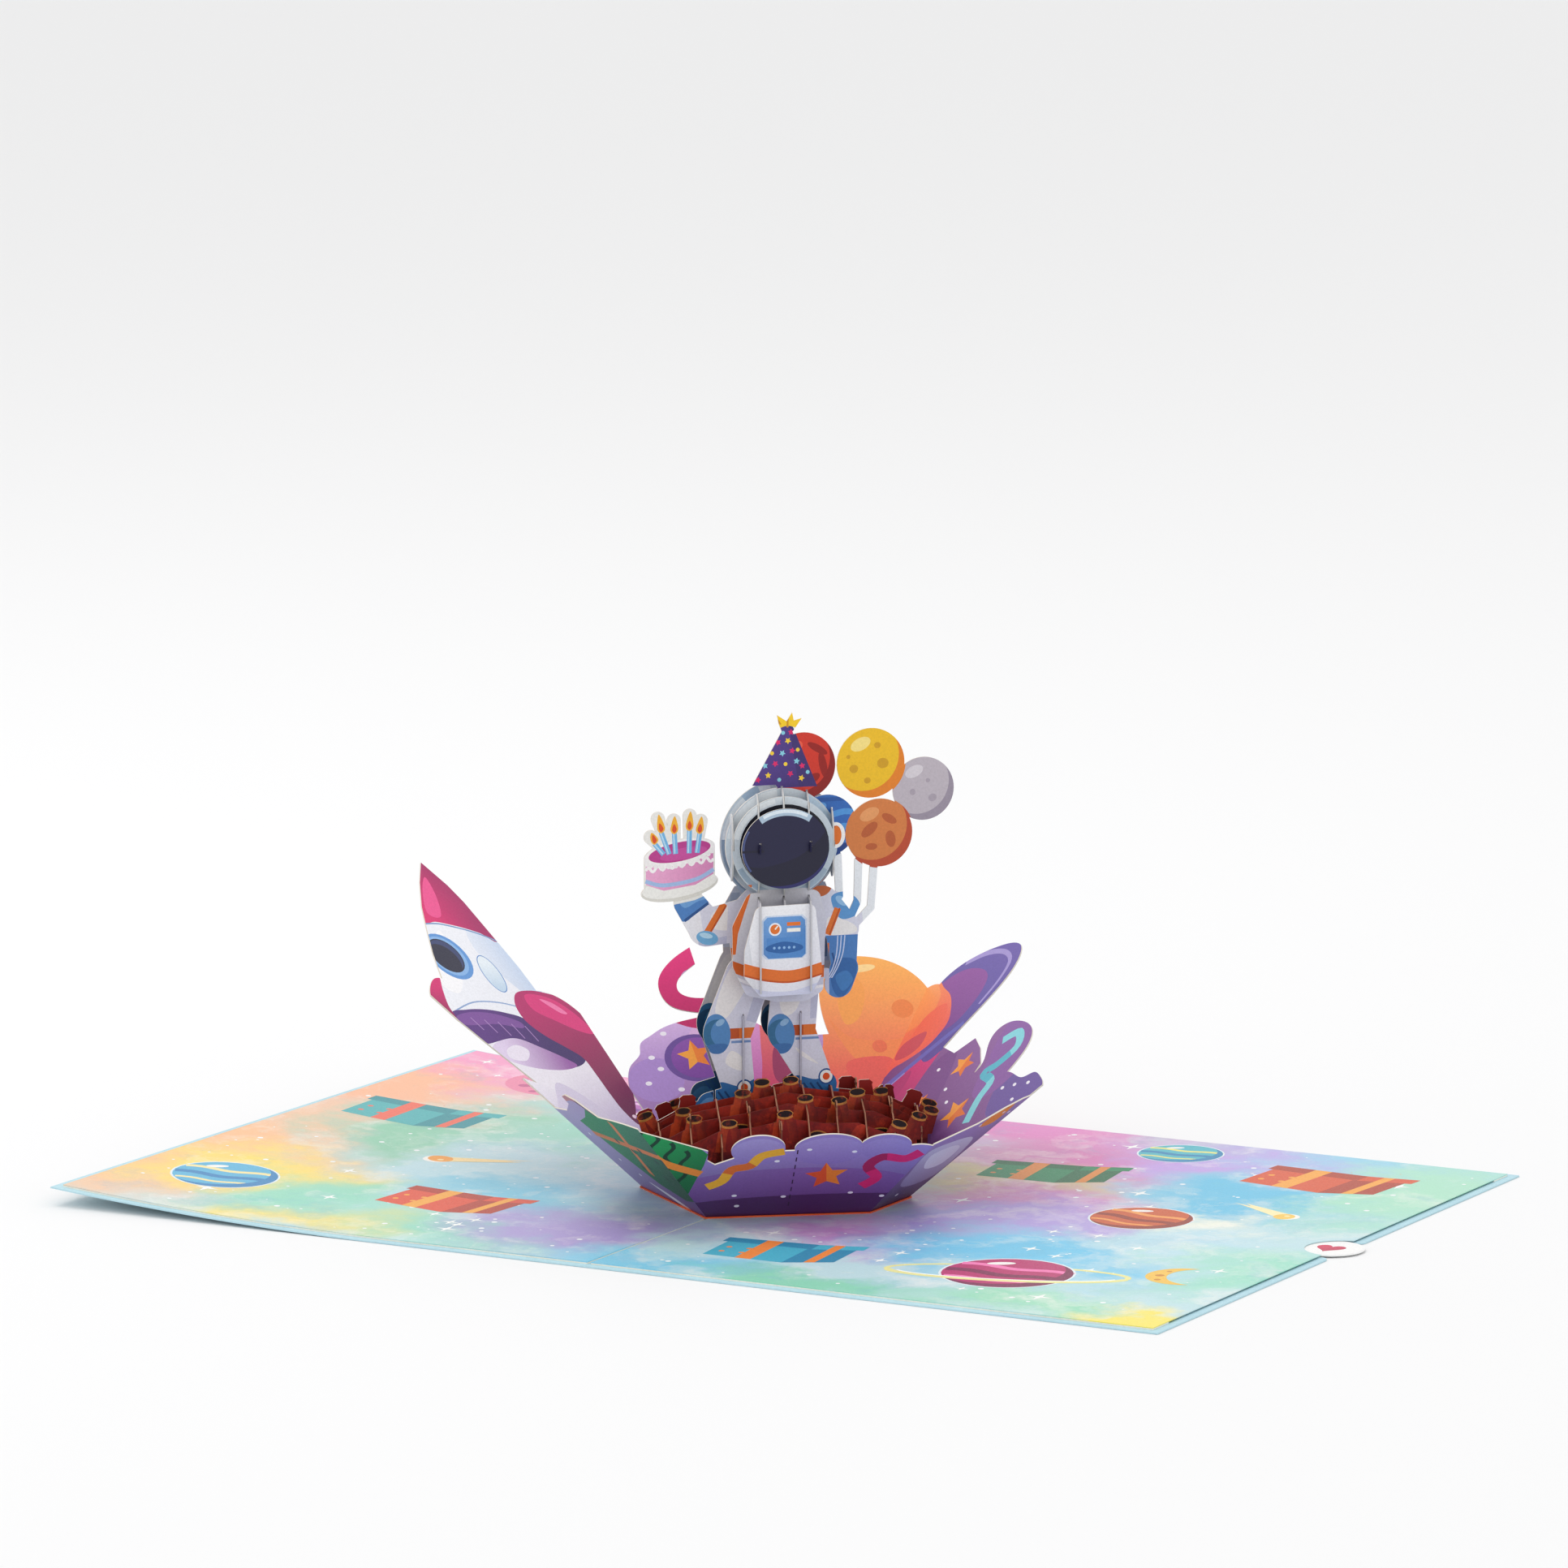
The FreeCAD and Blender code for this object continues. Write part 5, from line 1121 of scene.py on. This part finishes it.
# %% Back walls
back_right = ([(box(-60, -4, 60, 90), ("#8F5E9E", "#6A3A7C", (-10, 44), (4, 8))),
               (soft([(-18, 38), (-24, 42), (-34, 43), (-42, 38), (-34, 29), (-24, 27)]), "#6E55A0"),
               (soft([(-6, 40), (-2, 52), (-12, 56), (-22, 48), (-20, 34), (-12, 30)]), "#8C5AA4"),
               (soft([(12, 40), (4, 30), (0, 18), (8, 8), (20, 12), (18, 30)]), "#76448A"),
               (soft([(30, 21), (24, 34), (19, 40), (16.6, 29), (15, 18), (22, 10), (40, 8), (50, 14)]),
                ("#D0307A", "#9A2468", (24, 34), (24, 12))),
               (soft([(24, 30), (21, 24), (22, 17), (30, 14), (29, 22)]), "#B02870"),
               (soft([(44, 52), (42, 60), (37, 66), (30, 70.6), (24, 73), (20, 72.6), (16, 69), (14.6, 62),
                (14.6, 54),
                      (16, 45), (20, 34), (27, 36), (36, 46)]), ("#6A57A8", "#54459A", (22, 70), (22, 40))),
               (band(curve([(39, 62), (33, 66.4), (26, 68.4), (20.4, 66.8), (18.2, 61), (18.2, 53)]), 2, 0.4),
                "#A292D0"),
               (soft([(42, 54), (37, 60), (29, 62), (23.6, 60), (21.2, 53.5), (22.4, 45), (30, 40), (40, 46)]),
                ("#8E4A9C", "#7A3A8E", (28, 60), (26, 44))),
               (soft([(52, 63), (47, 57), (40.8, 54), (34, 52.4), (28.4, 48.8), (25.2, 45), (25.2, 39), (27.6, 34.6),
                      (30.6, 31), (32.7, 28.6), (34.4, 23.4), (44, 20), (60, 18), (66, 40)]),
                ("#F7914F", "#EF5F55", (50, 50), (28, 40))),
               (soft([(56, 60), (46, 55), (38, 51), (36, 44), (44, 36), (58, 34)]), ("#FBA65C", "#F58A52", (50,
                54), (38, 44))),
               (soft([(33, 50), (28, 46), (27, 39), (31, 33), (36, 38), (37, 45)]), "#F0654E"),
               (soft([(31, 41), (29, 37), (31, 33), (35, 31), (37, 35), (34.4, 39)]), "#C9485A"),
               (soft([(58, 30), (46, 30), (38, 29), (36, 24), (46, 21), (58, 20)]), "#EC5A58"),
               (soft([(50, 27), (44, 28), (40, 26), (44, 23.4), (50, 23)]), "#DD5060"),
               (band(curve([(60, 16.4), (48, 17.4), (38, 18.6), (31, 21.4), (26.6, 29.6), (21.4, 40.6), (18,
                47)]), 2.7,
                     0.6), "#6260B6"),
               (band(curve([(60, 15.2), (48, 16.2), (38, 17.4), (30.2, 20.4), (25.8, 28.8)]), 0.6), "#8E8ED2")]
              + two_tone_star(3, 36.6, 4.2, 84, "#F59A34", "#E8742A")
              + two_tone_star(-10.4, 24.4, 5, 100, "#F59A34", "#E8742A")
              + two_tone_star(8, 24, 2.2, 90, "#F0852E", "#DD6426")
              + ribbon_curl([(-5.4, 46.4), (-9.4, 50), (-13.6, 46.6), (-11.6, 40.4), (-9, 36.6), (-14.6, 35.4),
                             (-15.6, 30), (-18.6, 23)], 2.7, "#86D6E0", "#54B8CC")
              + dots([(-26, 37), (-31, 38.8), (-30, 33.2), (-22, 35), (12, 33), (-3, 26), (2, 29)], 0.6))

back_left = ([(box(-60, -4, 60, 90), ("#C9A4DA", "#8A5CA4", (4, 44), (0, 10))),
              (oval(18, 38, 26, 16, 10), ("#D9B8E6", "#B48FD0", (18, 45), (18, 30))),
              (oval(24, 27, 14, 13), "#AE8CD0"), (oval(2, 40, 26, 14, -8), "#DDB4E0"),
              (oval(13.4, 33.2, 16, 14), "#6A4A98"), (oval(12.8, 33.2, 13.8, 12), ("#8A4FA8", "#7A3F9C", (14,
               38), (12, 28))),
              (soft([(-2, 50), (1, 42), (0, 30), (2, 20), (-10, 18), (-12, 34), (-8, 48)]), ("#E39AD0",
               "#C86AB0", (-2, 44), (-2, 26))),
              (soft([(-4, 50), (-3.4, 42), (-3, 32), (-3, 20), (-14, 18), (-14, 40), (-9, 50)]), ("#EE7A72",
               "#D2466C", (-6, 46), (-6, 26))),
              (soft([(-7, 36), (-5.6, 32), (-6, 26), (-10, 24), (-11, 32)]), "#9C3460"),
              (soft([(-50, 64), (-36, 63.4), (-24, 62.6), (-19, 56), (-18, 48), (-19, 38), (-17, 30), (-14,
               24.4), (-24, 22.4),
                     (-56, 18), (-60, 44)]), ("#FFB75E", "#F0645A", (-36, 60), (-32, 24))),
              (soft([(-50, 62), (-36, 62), (-26, 61), (-21.6, 54), (-26, 47), (-40, 50), (-52, 56)]), ("#FFB65C",
               "#FBA05A", (-36, 62), (-34, 48))),
              (soft([(-21, 44), (-26, 38), (-38, 37), (-52, 42), (-52, 34), (-38, 29), (-27, 31)]), "#F78E54"),
              (soft([(-24, 30), (-34, 32), (-40, 28), (-52, 30), (-52, 20), (-30, 20)]), "#EE6258"),
              (oval(-31, 58.4, 7, 2.2, -8), "#FFDA96"), (soft([(-28, 56), (-24, 50), (-25, 42), (-29, 44), (-31,
               52)]), "#F9A352"),
              (disc(-40, 46, 2.8, 18), "#F08A4C"), (disc(-33, 35, 1.9, 18), "#EE7450"),
              (band(curve([(-12, 23), (-22, 20.6), (-34, 19.4), (-50, 17)]), 2.4), "#6260B6")]
             + two_tone_star(13.6, 34, 4.6, 78, "#F7A23A", "#EC7F2C")
             + [(soft([(8.9, 42), (2, 46), (6, 52), (12, 52), (15.4, 55), (14, 59), (9, 61), (10, 69), (16, 68),
              (24, 58),
                       (22, 48), (16, 43)]), ("#E5307C", "#C21F66", (14, 64), (12, 48)))]
             + dots([(24.6, 33.6), (22.6, 30.2), (21, 40.6), (26, 26), (18, 24)], 0.7))

for node, walls in (("bowl_front", {"front_right": front_right, "front_left": front_left}),
                    ("bowl_back", {"back_right": back_right, "back_left": back_left}),
                    ("petal_left", {"left": left}), ("petal_right", {"right": right})):
    sheets = []
    for wall, shapes in walls.items():
        sheets += both_sides(node, WALLS[wall], shapes, PURPLE)
    print_piece("print_" + node, "card", sheets, INK)


# %% [markdown]
# Liner motifs: small planets, parcels, comets and sparks scattered over the wash.

# %% Liner and slip prints
def moved(shapes, x, y, turn=0.0, scale=1.0):
    c, s = math.cos(math.radians(turn)) * scale, math.sin(math.radians(turn)) * scale
    return [([(x + a * c - b * s, y + a * s + b * c) for a, b in ring], paint) for ring, paint in shapes]


def small_planet(light, main, dark, ring=None):
    shapes = []
    if ring:
        shapes.append((arc_band(0, 0, 46, 13, 200, -20, 1.2, 14), ring))
    shapes += [(disc(0, 0, 12.9), "#E4EEF2"), (disc(0, 0, 12.4), main),
               (wave(-11.4, 11.4, 4.4, 0.7, 1.5, 2), light), (wave(-12, 12, -1.4, 0.8, 1.5, 2.6), dark),
               (wave(-10, 10, -6.6, 0.6, 1.5, 1.4), light), (crescent(0, 0, 12.4, -2.6, 2.2), dark),
               (oval(-4.6, 7.2, 5.4, 2.4, 28), "#F4F1EC")]
    if ring:
        shapes += [(arc_band(0, 0, 46, 13, 190, 350, 1.7, 14), ring), (arc_band(0, 0, 43, 11, 195, 345, 0.5, 14),
         "#FFFFFF")]
    return shapes


def parcel(side, shade, bow):
    shapes = [([(-17, -10), (5, -12), (5, 8), (-17, 8)], side), ([(5, -12), (17, -7), (17, 10), (5, 8)], shade),
              ([(-18.4, 6), (6, 5), (6, 10.6), (-18.4, 10.6)], shade), ([(6, 5), (18.6, 8.4), (18.6, 13), (6,
               10.6)], side),
              ([(-8, -10.9), (-3.6, -11.3), (-3.6, 10.6), (-8, 10.6)], bow), ([(10, -9.9), (12.6, -8.8), (12.6,
               11.8), (10, 11.3)], bow),
              (arc_band(-4, 14.4, 11, 6, 0, 360, 1.5, -24), bow), (arc_band(6.6, 14.8, 11, 6, 0, 360, 1.5, 24), bow)]
    return shapes + [(disc(-14 + 5.4 * (i % 2), -5 + 5 * (i // 2), 0.8, 12), bow) for i in range(4)]


def comet(head, tail):
    return [([(0, -4), (30, -1), (24, 0.6), (34, 2), (22, 2.4), (0, 4)], tail), (disc(0, 0, 5.4, 24), head),
            (crescent(0, 0, 5.4, 1.6, 1.2), "#F7F3EA"), (disc(1, -1, 1.2, 12), tail)]


def moon(main, dark):
    return [(crescent(0, 0, 12, 6, 3), main), (disc(-7, -3, 1.5, 14), dark), (disc(-4, -8.4, 1.1, 14), dark),
            (disc(-8, 3.4, 0.9, 12), dark)]


def on_left(x, y):
    """A point on the left liner, which curls up towards its outer edge."""
    run = -x
    flat, lift = 55.0, 4.2
    radius = ((150 - flat) ** 2 + lift ** 2) / (2 * lift)
    if run <= flat:
        return Vector((x, y, 0.9 + INK_LIFT)) * MM
    bend = (run - flat) / radius
    height = 0.9 + INK_LIFT
    return Vector((-flat - (radius - height) * math.sin(bend), y,
                   radius - (radius - height) * math.cos(bend))) * MM


def on_right(x, y):
    return Vector((x, y, 0.9 + INK_LIFT)) * MM


# %% [markdown]
# Motifs and small stars are scattered over the liners from a fixed seed, so each run gives the same ones.

# %% Where the motifs lie
MOTIFS = [
    (small_planet("#F4E3A4", "#5FB4D8", "#3A86BC"), -124, -62, 12, 1.05),
    (parcel("#4FB0B2", "#38929A", "#EC6E58"), -122, 26, 2, 1.0),
    (moon("#E88AA8", "#C45E8C"), -112, 78, 20, 1.1),
    (parcel("#E0502F", "#B63A20", "#F3A93C"), -64, -54, -4, 0.95),
    (comet("#F2A23E", "#F9DDA0"), -92, -14, 24, 0.7),
    (small_planet("#E6B8E0", "#B05CB0", "#7E3A94", "#F1DDE8"), -78, 66, -6, 0.9),
    (comet("#D9568E", "#F0B4CC"), -40, 84, 165, 0.7),
    (parcel("#46AFC8", "#2E8AAE", "#F08A36"), 34, -66, 6, 0.95),
    (small_planet("#F27AB4", "#B81A66", "#7C1048", "#EDE79A"), 92, -62, 2, 1.25),
    (small_planet("#F2A050", "#CC5A22", "#95341A"), 92, 8, -8, 1.0),
    (moon("#F2C24A", "#D08A26"), 130, -46, -10, 0.75),
    (parcel("#1F8656", "#17683F", "#E08A36"), 48, 46, 8, 0.95),
    (small_planet("#E9E480", "#4FB6C4", "#2D86B4"), 66, 82, 4, 0.85),
    (parcel("#D8562A", "#B03E1E", "#F2A63C"), 112, 68, -4, 1.05),
    (comet("#F4C95A", "#FBEBB4"), 122, 26, 150, 0.6),
]
dice = random.Random(7)
for leaf, place, sign, slot in (("left", on_left, -1, "liner_paper"), ("right", on_right, 1, "liner_paper")):
    shapes = []
    for _ in range(170):
        x, y = sign * dice.uniform(5, 144), dice.uniform(-94, 94)
        if math.hypot(x, y + 7) < 44 or (sign > 0 and x > 132 and abs(y) < 14):
            continue
        shapes.append((disc(x, y, dice.choice((0.28, 0.4, 0.55, 0.75)), 10), "#F4F6F6"))
    for _ in range(20):
        x, y = sign * dice.uniform(12, 140), dice.uniform(-90, 90)
        if math.hypot(x, y + 7) < 46 or (sign > 0 and x > 130 and abs(y) < 16):
            continue
        shapes.append((star(x, y, dice.uniform(1.8, 3.6), 4, 0.26), "#F7F8F4"))
    for drawing, x, y, turn, scale in MOTIFS:
        if x * sign > 0:
            shapes += moved(drawing, x, y, turn, scale)
    print_piece(f"print_liner_{leaf}", "card", [(place, [], shapes, None, False)], INK)

# Message slip: a pale border, ruled lines and a small heart on the tab
slip_top = 0.6 + INK_LIFT
heart = []
for i in range(40):
    t = 6.28318 * i / 40
    heart.append((145.8 + 0.25 * 16 * math.sin(t) ** 3 * 0.9,
                  0.25 * (13 * math.cos(t) - 5 * math.cos(2 * t) - 2 * math.cos(3 * t) - math.cos(4 * t))))
slip_shapes = [(disc(145.6, 0, 8.1), "#F4F3F1"), (heart, ("#D93B5E", "#B8284C", (143, 2), (148, -3)))]
slip_shapes += [(box(44, 30 - 12 * i, 128, 30.4 - 12 * i), "#9FBFD4") for i in range(6)]
slip_shapes += [(ring, "#8CC4DA") for ring in (box(36, -43, 137, -42), box(36, 42, 137, 43), box(36, -42, 37, 42))]
print_piece("print_slip", "slip",
            [(lambda x, y: Vector((x, y, slip_top)) * MM, [], slip_shapes, None, False)], INK)


# %% [markdown]
# Finishes of the solids themselves: cut card shows at every edge and in the slots.

# %% Finish of the bare card
FINISH = {"cover": COVER_BLUE, "liner_left": WASH_INK, "liner_right": WASH_INK, "tape_left": TAPE_WHITE,
          "tape_right": TAPE_WHITE, "message_slip": SLIP_WHITE, "bowl_floor": FLOOR_ORANGE}
EDGES = {"head_rib": HEAD_EDGE, "body_rib": SUIT_EDGE, "mound_slice": ROCK_EDGE, "cross_slice": ROCK_RIB_EDGE}
for name, node in nodes.items():
    node.data.materials.clear()
    node.data.materials.append(FINISH.get(name) or EDGES.get(name.rstrip("0123456789").rstrip("_"), CUT_EDGE))


# %% [markdown]
# Stage: a white sweep, a large soft light from the upper left, a fill from the right, and the camera.

# %% Stage, light and camera
def area_light(name, place, target, size, power, tint=(1, 1, 1)):
    data = bpy.data.lights.new(name, "AREA")
    data.shape = "DISK"
    data.size = size
    data.energy = power
    data.color = tint
    light = bpy.data.objects.new(name, data)
    light.location = place
    light.rotation_euler = (Vector(target) - Vector(place)).to_track_quat("-Z", "Y").to_euler()
    scene.collection.objects.link(light)


def plain_mesh(name, verts, faces):
    mesh = bpy.data.meshes.new(name)
    mesh.from_pydata(verts, [], faces)
    thing = bpy.data.objects.new(name, mesh)
    scene.collection.objects.link(thing)
    return thing


# %% [markdown]
# A white table and an even white surround stand in for the studio. The floor keeps the card's soft shadow.

# %% Floor and world
floor_mat, floor_tree, floor_shader = new_material("white_sweep", 0.8, 0.1)
floor_shader.inputs["Base Color"].default_value = (0.87, 0.87, 0.872, 1)
floor = plain_mesh("floor", [(-6, -6, -0.00006), (6, -6, -0.00006), (6, 9, -0.00006), (-6, 9, -0.00006)],
                   [(0, 1, 2, 3)])
floor.data.materials.append(floor_mat)

world = bpy.data.worlds.new("studio")
world.use_nodes = True
world.node_tree.nodes["Background"].inputs["Color"].default_value = (1, 1, 1, 1)
world.node_tree.nodes["Background"].inputs["Strength"].default_value = 0.97
scene.world = world
area_light("key", (-0.7, 0.1, 1.5), (0, 0, 0.05), 0.9, 5)
area_light("fill", (1.2, -1.4, 0.8), (0, 0, 0.05), 1.2, 2)


# %% [markdown]
# The camera has the photograph's viewing angle, found from the card's corners.

# %% Camera
camera_data = bpy.data.cameras.new("camera")
camera_data.lens = 198.87
camera_data.sensor_width = 36.0
camera_data.clip_end = 30.0
camera = bpy.data.objects.new("camera", camera_data)
camera.location = (1.00188, -1.81834, 0.43344)
camera.rotation_euler = (math.radians(90 - 9.104), 0.002, math.radians(28.87))
scene.collection.objects.link(camera)
scene.camera = camera
scene.view_settings.view_transform = "Standard"
print("camera at", tuple(camera.location))
